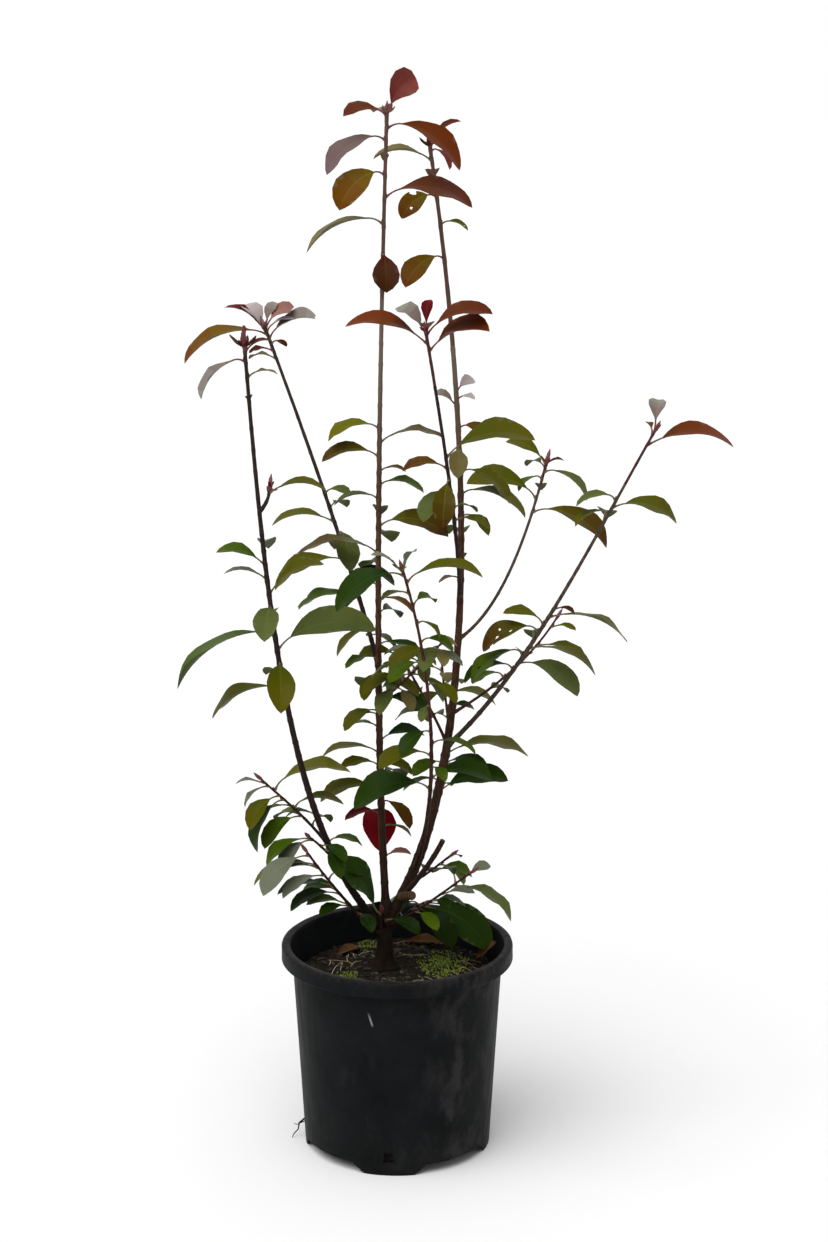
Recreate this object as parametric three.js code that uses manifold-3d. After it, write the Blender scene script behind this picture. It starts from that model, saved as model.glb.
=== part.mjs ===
// A young photinia in its black nursery pot: one stool that forks into several slim, arching stems,
// each with leafy stretches, bare stretches between them and a tuft of young leaves at its tip.
// Millimetres, +Z up, origin at the middle of the pot's flat underside. Bearings are seen from
// above, in degrees anticlockwise from +X, so 270 is towards the front.
import * as THREE from "three";
import { mergeVertices } from "three/addons/utils/BufferGeometryUtils.js";
import Module from "manifold-3d";

const wasm = await Module();
wasm.setup();

// Driving dimensions.
const CLEAR = 0.3; // gap kept between pieces that touch on the real plant
const POT = {
  height: 243,
  rimRadius: 133,
  rimDepth: 18,
  mouthRadius: 122,
  neckRadius: 120.5, // outside, just under the rim
  footRadius: 107,
  wall: 1.9,
  floor: 2.5,
  lip: 2.2, // thickness of the rim's top, its skirt and the foot ring
  cove: 6, // height of the slope from the wall out to the rim
  edge: 1.6, // the rim's bevelled edges
  panRadius: 76, // the flat middle of the underside
  channelHeight: 12, // how far the underside is raised round the pan
  firstFoot: 85,
  feet: 4,
  notch: { foot: 54, head: 40, inner: 82 }, // half widths of the gap between two feet, and its inner end
  slot: { half: 6.5, height: 13, above: 1, narrowing: 0.7, inner: 95 },
  cutReach: 120, // how far out the notches and slots are cut
  sides: 44,
};
const SOIL = { top: 210, crown: 46, shoulder: 80, shoulderDrop: 2, edgeDrop: 8 };
const TRUNK = {
  foot: [-16, 5, SOIL.top + CLEAR],
  top: [-13, 5, 286],
  radius: 9.5,
  taper: 0.22,
  flare: 0.85, // how much wider the root lobes make it at the soil
  flareFall: 11, // height over which the flare dies away
  lobes: 3,
  lobeDepth: 0.45,
  lobeTurn: 0.6,
  sides: 12,
};
const LEAF = {
  widthShare: 0.5, // blade width over blade length
  stalkShare: 0.16, // stalk length over blade length, past the first few millimetres
  stalkLeast: 6,
  stalkRadius: 0.95,
  thickness: 1.3,
  stalkLean: 38, // how far the stalk leans out from its stem
  stalkRise: [-5, 75], // least and most degrees above level where it does so
  bladeRise: 8, // degrees above level where the blade begins
  bladeFall: 54, // degrees below level at the blade's tip
  faceFront: 12, // how far blades at the plant's sides turn their faces to the front
  fold: [8, 18], // least and most degrees that each half of the blade is folded up from flat
  stray: 10, // how far a leaf's bearing and lift stray in all
  strayRoll: 30, // the same for how it is rolled about its midrib
  broadest: 1.15, // above 1 the blade is broadest past its middle
  fullness: 0.85, // below 1 its sides bulge
};
const STEM_SIDES = 6;
const TAPER = 1.35; // how much faster than evenly a stem thins near its foot
const SAG = 0.5; // how far a faceted stem may stand off its curve
const CROWDING = 2.2; // how strongly the leaves close up towards a stem's tip
const BARE_FOOT = 0.2; // share of a side shoot that has no leaves, above its foot
const FIRST_LEAF = 0.6; // place of a stretch's lowest leaf, as a share of the leaves' spacing
const BUD = { length: 15, radius: 2.6, widest: 0.3, size: 0.55, sizePerRadius: 0.25, sides: 5 };
const CUT_REACH = 0.12; // share of a parent's length, each way, that a side stem's foot is cut clear of

// Each stem is a cubic curve: it starts on its parent at a share of the parent's length, and then
// has two handles and a tip. Radii are at its foot and its tip. A leafy stretch has its ends as
// shares of the stem's length, and its leaves from the lowest up: each has its bearing, its blade's
// length, its lift in degrees where it stands up or hangs more than usual, and its tilt in degrees
// where it is rolled about its midrib.
const STEMS = {
  centre: {
    on: "trunk", at: 1, handles: [[-26, 10, 506], [-21, 35, 846]], tip: [-10, 20, 1184], radii: [4.6, 1.9],
    leafy: {
      centre_low_leaves: [
        0.14, 0.34, [95, 72, -40], [328, 42, -20], [184, 62, 4], [60, 48], [186, 40, 8], [176, 58, 8],
        [15, 46, 10], [150, 40], [184, 26], [352, 50, 0, 20], [110, 48],
      ],
      centre_mid_leaves: [
        0.34, 0.495, [235, 34, -30], [205, 36, 6], [336, 46], [196, 50, -22], [60, 42], [340, 38],
        [200, 44, -20], [100, 52],
      ],
      centre_upper_leaves: [
        0.495, 0.6615, [184, 82, 16, 4], [75, 52], [2, 70, 4, 12], [85, 36], [182, 44], [6, 44, 6],
        [355, 24, 6], [181, 56, 6], [5, 64, 20], [178, 52, -4],
      ],
      centre_crown: [
        0.785, 1, [85, 30], [272, 48, -30], [183, 82, -6, 20], [0, 86, 14, 22], [204, 60, -16, -26],
        [92, 20, -10], [181, 68, -18, -28], [357, 84, -12, 4], [110, 40, 20], [176, 40, 10, -8],
        [35, 44, 64, 50],
      ],
    },
  },
  right: {
    on: "trunk", at: 0.72, handles: [[89, 21, 407], [92, 74, 768]], tip: [37, 87, 1141], radii: [6.6, 2],
    leafy: {
      right_low_leaves: [0.25, 0.322, [2, 70, 30], [185, 38], [75, 52], [345, 44, 14], [0, 84, 14, -6]],
      right_mid_leaves: [
        0.53, 0.75, [185, 20, -4], [90, 24], [85, 40], [2, 34, -24, 10], [352, 70, -4], [350, 60, -22],
        [262, 44, -20], [340, 28, 0, 30], [170, 22, 40],
      ],
      right_crown: [
        0.865, 1, [222, 56, -12, -10], [4, 26, -6, 20], [210, 42, -20, -42], [90, 34], [181, 56, 18],
        [330, 28, -30], [12, 36, 58],
      ],
    },
  },
  left: {
    on: "trunk", at: 0.6, handles: [[-122, -35, 375], [-142, -99, 674]],
    tip: [-158, -139, 956], radii: [4.8, 1.9],
    leafy: {
      left_mid_leaves: [
        0.49, 0.742, [95, 50], [184, 78, -4], [120, 34], [272, 66, -14], [6, 98, 30, 16],
        [187, 112, -10, 32], [95, 46], [268, 56, -6], [3, 58, 44, 12], [178, 40, 22], [183, 46, 32, -10],
        [85, 44],
      ],
      left_crown: [0.91, 1, [92, 16], [2, 26, 20], [190, 56, -22, 6], [20, 24, 30], [100, 26, 50]],
    },
  },
  left_spur: {
    on: "left", at: 0.785, handles: [[-138, -115, 784], [-136, -112, 790]],
    tip: [-135, -109, 799], radii: [1.8, 1.6],
    leafy: { left_spur_crown: [0, 1, [80, 26, 20], [4, 52, 16]] },
  },
  inner_left: {
    on: "centre", at: 0.362, handles: [[-39, 45, 637], [-98, 125, 793]],
    tip: [-152, 173, 927], radii: [2.9, 1.7],
    leafy: {
      inner_left_leaves: [
        0.24, 0.58, [182, 64, 6], [85, 50], [350, 46], [182, 80, -10, 6], [100, 46], [284, 54, -26],
        [182, 62, 6], [60, 34], [350, 26, 10],
      ],
      inner_left_crown: [
        0.9, 1, [150, 30, 6], [192, 22, 10], [330, 16], [2, 52, 36, 14], [186, 90, -6, 10],
        [150, 34, 60], [15, 34, 46], [176, 42, 48], [60, 26, 70],
      ],
    },
  },
  inner_right: {
    on: "right", at: 0.528, handles: [[67, -3, 741], [48, -67, 865]], tip: [32, -99, 966], radii: [2.4, 1.6],
    leafy: {
      inner_right_leaves: [
        0.24, 0.56, [100, 30, -10], [340, 36], [40, 30], [100, 34, -6], [228, 46, -16], [265, 54, -40],
        [182, 42, 6], [4, 88, 32],
      ],
      inner_right_crown: [
        0.91, 1, [350, 60, 35, 16], [181, 78, 32, -2], [95, 38, 20], [3, 64, 36, 10], [162, 34, 50],
        [80, 30, 72],
      ],
    },
  },
  back_right: {
    on: "right", at: 0.472, handles: [[116, 87, 611], [147, 131, 679]],
    tip: [173, 176, 767], radii: [2, 1.5],
    leafy: {
      back_right_crown: [
        0.75, 1, [358, 86, -14], [180, 74, 28, -20], [85, 30], [195, 28, -20], [352, 54, -24], [120, 36],
        [165, 46, 42], [20, 16, 10],
      ],
    },
  },
  far_right: {
    on: "right", at: 0.328, handles: [[146, -35, 574], [209, -99, 735]],
    tip: [273, -147, 870], radii: [3, 1.4],
    leafy: {
      far_right_low_leaves: [
        0.28, 0.5, [190, 52, -6], [345, 66, -10], [190, 62, -14], [348, 70, -8, -6], [90, 40],
        [184, 60, -4], [170, 40, 24], [354, 80, -5, -10], [10, 18],
      ],
      far_right_mid_leaves: [0.73, 0.81, [80, 44], [190, 34, -10], [2, 64, -4, 10], [178, 38, 6]],
      far_right_crown: [0.93, 1, [2, 82, 18, -6], [100, 16, 30], [75, 30, 66]],
    },
  },
  short_right: {
    on: "right", at: 0.374, handles: [[106, 45, 529], [152, 53, 564]],
    tip: [182, 58, 613], radii: [1.8, 1.2],
    leafy: { short_right_leaves: [0, 1, [60, 38], [200, 34], [80, 44], [355, 54, -12], [350, 22, 4]] },
  },
  inner_back: {
    on: "right", at: 0.331, handles: [[42, 45, 504], [17, 45, 548]], tip: [-1, 29, 585], radii: [1.8, 1.2],
    leafy: { inner_back_leaves: [0, 1, [150, 44], [110, 50], [170, 34], [120, 40], [340, 40]] },
  },
  inner_spur: {
    on: "right", at: 0.345, handles: [[60, 74, 492], [54, 103, 505]], tip: [52, 122, 540], radii: [1.8, 1.2],
    leafy: { inner_spur_leaves: [0, 1, [120, 46], [30, 30, 6], [4, 54], [70, 44], [150, 38]] },
  },
  cross_twig: {
    on: "centre", at: 0.313, handles: [[4, -19, 555], [24, -43, 581]],
    tip: [49, -67, 616], radii: [1.6, 1.1],
    leafy: {
      cross_twig_leaves: [0, 1, [250, 42, -10], [200, 46], [330, 40, -20], [150, 30], [10, 34], [280, 32]],
    },
  },
  front: {
    on: "right", at: 0.12, handles: [[46, -67, 419], [48, -83, 567]], tip: [7, -115, 711], radii: [2.8, 1.4],
    leafy: {
      front_low_leaves: [
        0.33, 0.56, [186, 80, -2, -10], [0, 60, 10], [300, 26], [200, 54], [345, 44], [230, 44, -10],
      ],
      front_crown: [
        0.82, 1, [350, 26, -26], [60, 38], [200, 26], [0, 74, 16], [184, 74, -16], [200, 34, 50],
        [300, 30, 62],
      ],
    },
  },
  cut_stub: {
    on: "right", at: 0.05, handles: [[26, -12, 326], [40, -18, 346]], tip: [52, -22, 373], radii: [3.2, 3],
  },
  low_right: {
    on: "trunk", at: 0.62, handles: [[32, -32, 296], [52, -52, 322]],
    tip: [84, -70, 352], radii: [1.8, 1.2],
    leafy: { low_right_leaves: [0, 1, [310, 34], [20, 40], [4, 30, 14], [345, 66, -16], [30, 26, 24, 20]] },
  },
  low_right_back: {
    on: "right", at: 0.09, handles: [[34, 26, 314], [46, 38, 322]], tip: [62, 50, 330], radii: [1.7, 1.2],
    leafy: { low_right_back_leaves: [0, 1, [80, 48], [20, 42], [340, 30, -20], [60, 22]] },
  },
  low_left: {
    on: "left", at: 0.24, handles: [[-109, -26, 409], [-131, -34, 429]],
    tip: [-152, -42, 452], radii: [1.8, 1.2],
    leafy: {
      low_left_leaves: [0, 1, [130, 44], [6, 50, 10], [206, 60, -46], [13, 80, 26], [180, 26, 10]],
    },
  },
  low_left_front: {
    on: "left", at: 0.2, handles: [[-86, -40, 374], [-92, -58, 384]],
    tip: [-98, -70, 394], radii: [1.7, 1.2],
    leafy: { low_left_front_leaves: [0, 1, [310, 36], [186, 52, -14]] },
  },
  base_left: {
    on: "trunk", at: 0.4, handles: [[-56, -34, 301], [-77, -62, 338]],
    tip: [-101, -76, 379], radii: [2.2, 1.3],
    leafy: {
      base_left_leaves: [
        0, 1, [290, 34], [190, 40, 24], [150, 44, 10], [200, 54, 10], [215, 50, 6], [178, 66, -8],
        [204, 60, -16],
      ],
    },
  },
  base_front: {
    on: "trunk", at: 0.6, handles: [[-16, -12, 272], [-16, -22, 280]],
    tip: [-17, -32, 292], radii: [2, 1.4],
    leafy: { base_front_leaves: [0, 1, [330, 40], [212, 84, 74, -34]] },
  },
  base_back: {
    on: "trunk", at: 0.5, handles: [[12, 26, 270], [24, 40, 274]], tip: [34, 52, 272], radii: [2.2, 1.4],
    leafy: { base_back_leaves: [0, 1, [110, 66], [322, 62, -14, 12], [346, 84, -10, 22], [20, 70, -16]] },
  },
};

// Colours seen on the real plant, as sRGB.
const FINISH = {
  pot: new THREE.MeshStandardMaterial({ color: 0x1d1f21, roughness: 0.55, metalness: 0 }),
  soil: new THREE.MeshStandardMaterial({ color: 0x2b2119, roughness: 0.95, metalness: 0 }),
  bark: new THREE.MeshStandardMaterial({ color: 0x4a352a, roughness: 0.8, metalness: 0 }),
  bronze: new THREE.MeshStandardMaterial({ color: 0x7d4a22, roughness: 0.4, metalness: 0 }),
  olive: new THREE.MeshStandardMaterial({ color: 0x5a6a26, roughness: 0.4, metalness: 0 }),
  dark: new THREE.MeshStandardMaterial({ color: 0x2f4f24, roughness: 0.35, metalness: 0 }),
};
const leafFinish = (label) => {
  if (label.endsWith("crown")) return FINISH.bronze;
  return /^(low|base|centre_low|front_low)/.test(label) ? FINISH.dark : FINISH.olive;
};

const radians = THREE.MathUtils.degToRad;
const vec = (a) => new THREE.Vector3(...a);

// The same small seeded generator in every run: numbers from 0 to 1.
function seeded(seed) {
  let a = seed;
  return () => {
    a = (a + 0x6d2b79f5) | 0;
    let t = Math.imul(a ^ (a >>> 15), 1 | a);
    t = (t + Math.imul(t ^ (t >>> 7), 61 | t)) ^ t;
    return ((t ^ (t >>> 14)) >>> 0) / 4294967296;
  };
}

// A closed triangle mesh as a solid: shared points merged, empty faces dropped, faces turned outwards.
function solid(geometry) {
  const loose = geometry.index ? geometry.toNonIndexed() : geometry;
  const bare = new THREE.BufferGeometry().setAttribute("position", loose.getAttribute("position"));
  const merged = mergeVertices(bare, 1e-3);
  const points = merged.getAttribute("position");
  const corner = (i) => new THREE.Vector3().fromBufferAttribute(points, i);
  const faces = [];
  let volume = 0;
  for (let i = 0; i < merged.index.count; i += 3) {
    const [a, b, c] = [0, 1, 2].map((k) => merged.index.getX(i + k));
    if (a === b || b === c || a === c) continue;
    faces.push([a, b, c]);
    volume += corner(a).dot(corner(b).cross(corner(c)));
  }
  const triVerts = new Uint32Array(faces.flatMap(([a, b, c]) => (volume > 0 ? [a, b, c] : [a, c, b])));
  return new wasm.Manifold(new wasm.Mesh({ numProp: 3, vertProperties: points.array, triVerts }));
}

// A solid lofted through rings of equally many points. The last ring may be a single point.
function loft(rings) {
  const n = rings[0].length;
  const corners = [];
  const face = (...points) => points.forEach((p) => corners.push(p.x, p.y, p.z));
  const cap = (ring) => {
    for (let i = 1; i < ring.length - 1; i++) face(ring[0], ring[i + 1], ring[i]);
  };
  cap(rings[0]);
  for (let k = 0; k < rings.length - 1; k++) {
    const [low, high] = [rings[k], rings[k + 1]];
    for (let i = 0; i < n; i++) {
      const j = (i + 1) % n;
      if (high.length === 1) face(low[i], low[j], high[0]);
      else {
        face(low[i], low[j], high[j]);
        face(low[i], high[j], high[i]);
      }
    }
  }
  cap([...rings.at(-1)].reverse());
  const places = new THREE.Float32BufferAttribute(corners, 3);
  return solid(new THREE.BufferGeometry().setAttribute("position", places));
}

// A ring of points round a centre, square to a direction.
function ring(centre, along, radius, sides) {
  const across = new THREE.Vector3(0, 1, 0).cross(along).normalize();
  const other = along.clone().cross(across).normalize();
  return Array.from({ length: sides }, (_, i) => {
    const a = (2 * Math.PI * i) / sides;
    const r = typeof radius === "function" ? radius(a) : radius;
    return centre.clone().addScaledVector(across, r * Math.cos(a)).addScaledVector(other, r * Math.sin(a));
  });
}

// The curve of each stem, with its feet on its parent's own curve.
const curves = { trunk: new THREE.LineCurve3(vec(TRUNK.foot), vec(TRUNK.top)) };
for (const [name, stem] of Object.entries(STEMS)) {
  const foot = curves[stem.on].getPoint(stem.at);
  curves[name] = new THREE.CubicBezierCurve3(foot, ...stem.handles.map(vec), vec(stem.tip));
}

// The stem's radius at a share t of its length.
function radiusAt({ radii }, t) {
  return THREE.MathUtils.lerp(...radii, Math.min(1, t * (TAPER + (1 - TAPER) * t)));
}

// One stretch of a stem, from share t0 to t1, fatter by grow.
function stretch(name, t0, t1, grow = 0) {
  const curve = curves[name];
  const [start, middle, end] = [t0, (t0 + t1) / 2, t1].map((t) => curve.getTangent(t));
  const turning = start.angleTo(middle) + middle.angleTo(end);
  const run = curve.getPoint(t0).distanceTo(curve.getPoint(t1));
  const steps = Math.max(1, Math.ceil(Math.sqrt((run * turning) / (8 * SAG))));
  const rings = [];
  for (let i = 0; i <= steps; i++) {
    const t = t0 + ((t1 - t0) * i) / steps;
    rings.push(ring(curve.getPoint(t), curve.getTangent(t), radiusAt(STEMS[name], t) + grow, STEM_SIDES));
  }
  return loft(rings);
}

// The stool: it flares into low root lobes at the soil and ends in a flat top under the centre stem.
function trunkSolid(grow = 0) {
  const axis = curves.trunk;
  const height = TRUNK.top[2] - TRUNK.foot[2];
  const up = new THREE.Vector3(0, 0, 1);
  const rings = [0, 0.07, 0.2, 0.45, 0.8, 1].map((t) => {
    const spread = TRUNK.flare * Math.exp((-t * height) / TRUNK.flareFall);
    const lobe = (a) => 1 - TRUNK.lobeDepth * (0.5 - Math.cos(TRUNK.lobes * a + TRUNK.lobeTurn));
    const radius = (a) => TRUNK.radius * (1 - TRUNK.taper * t) * (1 + spread * lobe(a)) + grow;
    return ring(axis.getPoint(t).addScaledVector(up, t * grow), up, radius, TRUNK.sides);
  });
  return loft(rings);
}

// A leaf's centre line as two arcs in one upright plane: the stalk leans out of its stem and bends
// over, and the blade hangs on from there.
function leafLine(root, along, [bearing, length, lift = 0, tilt = 0], random) {
  const turn = radians(bearing + LEAF.stray * (random() - 0.5));
  const sway = lift + LEAF.stray * (random() - 0.5);
  const roll = radians(tilt + LEAF.faceFront * Math.cos(turn) + LEAF.strayRoll * (random() - 0.5));
  const fold = radians(THREE.MathUtils.lerp(...LEAF.fold, random()));
  const out = new THREE.Vector3(Math.cos(turn), Math.sin(turn), 0);
  const side = new THREE.Vector3(-out.y, out.x, 0);
  const stalk = LEAF.stalkShare * length + LEAF.stalkLeast;
  const slope = THREE.MathUtils.radToDeg(Math.atan2(along.z, along.dot(out)));
  const start = THREE.MathUtils.clamp(slope - LEAF.stalkLean, ...LEAF.stalkRise);
  const angles = [start, LEAF.bladeRise + sway, sway - LEAF.bladeFall].map(radians);
  const arc = (from, a0, a1, run, s) => {
    const bend = (a0 - a1) / run || 1e-6;
    const a = a0 - bend * s;
    const point = from.clone().addScaledVector(out, (Math.sin(a0) - Math.sin(a)) / bend);
    point.z += (Math.cos(a) - Math.cos(a0)) / bend;
    return { point, angle: a };
  };
  const bladeFoot = arc(root, angles[0], angles[1], stalk, stalk).point;
  // A station s of -1 is the stalk's root, 0 the blade's foot and 1 its tip.
  return (s) => {
    const at =
      s < 0
        ? arc(root, angles[0], angles[1], stalk, (1 + s) * stalk)
        : arc(bladeFoot, angles[1], angles[2], length, s * length);
    const up = out.clone().multiplyScalar(-Math.sin(at.angle));
    up.z = Math.cos(at.angle);
    const across = side.clone().multiplyScalar(Math.cos(roll)).addScaledVector(up, Math.sin(roll));
    const above = up.multiplyScalar(Math.cos(roll)).addScaledVector(side, -Math.sin(roll));
    return { point: at.point, across, above, fold };
  };
}

// Half the blade's width at a share u of its length.
function halfWidth(length, u) {
  return 0.5 * LEAF.widthShare * length * Math.sin(Math.PI * u ** LEAF.broadest) ** LEAF.fullness;
}

// A leaf as a folded blade of a few faces on its stalk, with its root at the middle of the stem.
function leafSolid(line, length) {
  const section = (s, half, folded, thick) => {
    const { point, across, above, fold } = line(s);
    const rise = folded ? half * Math.sin(fold) : 0;
    const reach = folded ? half * Math.cos(fold) : half;
    const place = (x, z) => point.clone().addScaledVector(across, x).addScaledVector(above, z);
    return [place(reach, rise), place(0, thick), place(-reach, rise), place(0, -thick)];
  };
  const r = LEAF.stalkRadius;
  const blade = [0.24, 0.58, 0.87].map((s) => section(s, halfWidth(length, s), true, LEAF.thickness / 2));
  return loft([section(-1, r, false, r), section(0, r, false, r), ...blade, [line(1).point]]);
}

// The closed bud at a stem's tip, its foot sunk into the stem.
function budSolid(name) {
  const curve = curves[name];
  const [tip, along] = [curve.getPoint(1), curve.getTangent(1)];
  const size = BUD.size + BUD.sizePerRadius * STEMS[name].radii[1];
  const at = (share) => tip.clone().addScaledVector(along, share * BUD.length * size);
  const round = (share, r) => ring(at(share), along, r * size, BUD.sides);
  return loft([round(-BUD.widest, 0.2 * BUD.radius), round(BUD.widest, BUD.radius), [at(1)]]);
}

// What a stem's foot is cut clear of: its parent, fatter by the gap.
function parentOf(name) {
  const { on, at } = STEMS[name];
  if (on === "trunk") return trunkSolid(CLEAR);
  return stretch(on, Math.max(0, at - CUT_REACH), Math.min(1, at + CUT_REACH), CLEAR);
}

// The leaves of one leafy stretch, spaced evenly along it, each a solid.
function leavesOf(name, stemNumber, [t0, t1, ...leaves]) {
  return leaves.map((leaf, i) => {
    const share = (i + FIRST_LEAF) / (leaves.length + FIRST_LEAF - 0.5);
    const crowded = t0 > 0 && t1 === 1 ? 1 - (1 - share) ** CROWDING : share;
    const start = t0 === 0 ? BARE_FOOT : t0;
    const t = start + (t1 - start) * crowded;
    const random = seeded(1000 * stemNumber + Math.round(1000 * t0) + 17 * i);
    const [root, along] = [curves[name].getPoint(t), curves[name].getTangent(t)];
    return leafSolid(leafLine(root, along, leaf, random), leaf[1]);
  });
}

const part = new THREE.Group();
function add(name, shape, material) {
  const { numProp, vertProperties, triVerts } = shape.getMesh();
  const corners = new Float32Array((vertProperties.length / numProp) * 3);
  for (let i = 0; i < corners.length / 3; i++) {
    corners.set(vertProperties.subarray(i * numProp, i * numProp + 3), 3 * i);
  }
  const geometry = new THREE.BufferGeometry()
    .setAttribute("position", new THREE.BufferAttribute(corners, 3))
    .setIndex(new THREE.BufferAttribute(triVerts, 1));
  geometry.computeVertexNormals();
  const mesh = new THREE.Mesh(geometry, material);
  mesh.name = name;
  part.add(mesh);
}

// Each stem in turn: its bare stretches are limbs, and its leafy ones are stems with leaves fused on.
function addStem(name, stemNumber) {
  const stem = STEMS[name];
  const reach = curves[name].getLength();
  const gap = (0.5 * CLEAR) / reach;
  const leafy = Object.entries(stem.leafy ?? {});
  const parent = parentOf(name);
  let from = 0;
  let limbs = 0;
  const limb = (t0, t1) => {
    const shape = stretch(name, t0, t1);
    limbs += 1;
    const label = leafy.length ? `${name}_limb_${limbs}` : name;
    add(label, t0 === 0 ? shape.subtract(parent) : shape, FINISH.bark);
  };
  for (const [label, run] of leafy) {
    const [t0, t1] = run;
    if (t0 > from + 1e-6) limb(from === 0 ? 0 : from + gap, t0 - gap);
    let shape = stretch(name, t0 === 0 ? 0 : t0 + gap, t1 < 1 ? t1 - gap : 1);
    for (const leaf of leavesOf(name, stemNumber, run)) shape = shape.add(leaf);
    if (t1 === 1) shape = shape.add(budSolid(name));
    if (t0 === 0) shape = shape.subtract(parent);
    add(label, shape, leafFinish(label));
    from = t1;
  }
  if (from < 1) limb(from === 0 ? 0 : from + gap, 1);
}

// The inside of the pot's wall at a height above its floor.
function innerRadius(z) {
  const share = (z - POT.channelHeight) / (POT.height - POT.rimDepth - POT.channelHeight);
  return THREE.MathUtils.lerp(POT.footRadius - POT.edge, POT.neckRadius - POT.wall, share);
}

// A solid turned about the upright axis from its profile of radii and heights.
function turned(profile) {
  const lathe = new THREE.LatheGeometry(profile.map((p) => new THREE.Vector2(...p)), POT.sides);
  return solid(lathe.rotateX(Math.PI / 2));
}

// The pot: turned wall, hollow rim and raised channel, with gaps cut between its feet and a drain
// slot above each foot.
function potSolid() {
  const { height, rimRadius, rimDepth, mouthRadius, neckRadius, footRadius, floor, edge } = POT;
  const { wall, lip, cove, panRadius, channelHeight } = POT;
  const skirtFoot = height - rimDepth;
  const floorTop = channelHeight + floor;
  let pot = turned([
    [0, 0], [panRadius, 0], [panRadius, channelHeight], [footRadius - lip, channelHeight],
    [footRadius - lip, 0], [footRadius, 0], [neckRadius, skirtFoot + 1],
    [mouthRadius + wall, skirtFoot + 1 + cove], [mouthRadius + wall, height - lip],
    [rimRadius - lip, height - lip], [rimRadius - lip, skirtFoot], [rimRadius, skirtFoot],
    [rimRadius, height - edge], [rimRadius - edge, height], [mouthRadius + edge, height],
    [mouthRadius, height - edge], [mouthRadius, skirtFoot + 2 + cove], [neckRadius - wall, skirtFoot + 2],
    [footRadius - edge, floorTop], [panRadius - floor, floorTop], [panRadius - floor, floor], [0, floor],
  ]);
  const cutter = ([low, lowHalf], [high, highHalf], inner, bearing) => {
    const corners = [[-lowHalf, low], [lowHalf, low], [highHalf, high], [-highHalf, high]];
    const shape = new THREE.Shape(corners.map((p) => new THREE.Vector2(...p)));
    const bar = new THREE.ExtrudeGeometry(shape, { depth: POT.cutReach - inner, bevelEnabled: false });
    return solid(bar.translate(0, 0, inner).rotateX(Math.PI / 2).rotateZ(radians(bearing + 90)));
  };
  const { notch, slot } = POT;
  const slotFoot = floorTop + slot.above;
  const slotHead = slotFoot + slot.height;
  for (let i = 0; i < POT.feet; i++) {
    const pitch = 360 / POT.feet;
    const bearing = POT.firstFoot + pitch * i;
    const gap = cutter([-1, notch.foot], [channelHeight, notch.head], notch.inner, bearing + pitch / 2);
    const drain = cutter([slotFoot, slot.half], [slotHead, slot.half * slot.narrowing], slot.inner, bearing);
    pot = pot.subtract(gap).subtract(drain);
  }
  return pot;
}

// Potting mix that fills the pot, 0.3 mm clear of it, flat under the trunk and lower at the wall.
function soilSolid() {
  const clear = 1.5 * CLEAR; // so that the flats of the turned faces stay clear too
  const { panRadius, floor, channelHeight } = POT;
  const edgeTop = SOIL.top - SOIL.edgeDrop;
  const panTop = channelHeight + floor + CLEAR;
  const well = panRadius - floor - clear;
  return turned([
    [0, floor + CLEAR], [well, floor + CLEAR], [well, panTop], [innerRadius(channelHeight) - clear, panTop],
    [innerRadius(edgeTop) - 1.5 * clear, edgeTop], [SOIL.shoulder, SOIL.top - SOIL.shoulderDrop],
    [SOIL.crown, SOIL.top], [0, SOIL.top],
  ]);
}

add("pot", potSolid(), FINISH.pot);
add("potting_soil", soilSolid(), FINISH.soil);
add("trunk", trunkSolid(), FINISH.bark);
Object.keys(STEMS).forEach((name, i) => addStem(name, i + 1));

export default part;
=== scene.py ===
import math

import bmesh
import bpy
from mathutils import Matrix, Vector, noise


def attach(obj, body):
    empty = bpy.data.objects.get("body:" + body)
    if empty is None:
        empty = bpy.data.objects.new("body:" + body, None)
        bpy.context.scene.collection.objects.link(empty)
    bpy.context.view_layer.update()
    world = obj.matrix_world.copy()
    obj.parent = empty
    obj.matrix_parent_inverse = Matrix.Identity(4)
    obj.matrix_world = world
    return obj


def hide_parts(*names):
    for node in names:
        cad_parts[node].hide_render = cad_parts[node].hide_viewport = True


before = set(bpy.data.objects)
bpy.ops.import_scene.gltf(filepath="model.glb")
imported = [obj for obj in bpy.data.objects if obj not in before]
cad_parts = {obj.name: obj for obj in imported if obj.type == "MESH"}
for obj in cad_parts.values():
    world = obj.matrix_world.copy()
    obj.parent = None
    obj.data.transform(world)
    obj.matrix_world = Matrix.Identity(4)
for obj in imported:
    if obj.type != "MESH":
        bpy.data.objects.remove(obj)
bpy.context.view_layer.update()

MM = 0.001
MASK = 0xFFFFFFFF

# The camera, where the photograph was taken from.
CAMERA = {"place": (0.0193, -3.325, 1.5), "pitch": 14.76, "lens": 89.13}

# The plant's rule, in millimetres and degrees.
TRUNK = {
    "foot": (-16, 5, 210.3),
    "top": (-13, 5, 286),
    "radius": 9.5,
    "taper": 0.22,
    "flare": 0.85,
    "flare_fall": 11,
    "lobes": 3,
    "lobe_depth": 0.45,
    "lobe_turn": 0.6,
    "lobe_rest": 0.75,
}
LEAF = {
    "width_share": 0.5,
    "stalk_share": 0.16,
    "stalk_least": 6,
    "stalk_radius": 0.95,
    "stalk_lean": 38,
    "stalk_rise": (-5, 75),
    "blade_rise": 8,
    "blade_fall": 54,
    "face_front": 12,
    "fold": (8, 18),
    "stray": 10,
    "stray_roll": 30,
    "broadest": 1.15,
    "fullness": 0.78,
}
TAPER = 1.35
CROWDING = 2.2
BARE_FOOT = 0.2
FIRST_LEAF = 0.6
BUD = {"length": 15, "radius": 2.6, "size": 0.55, "size_per_radius": 0.25}


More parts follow.
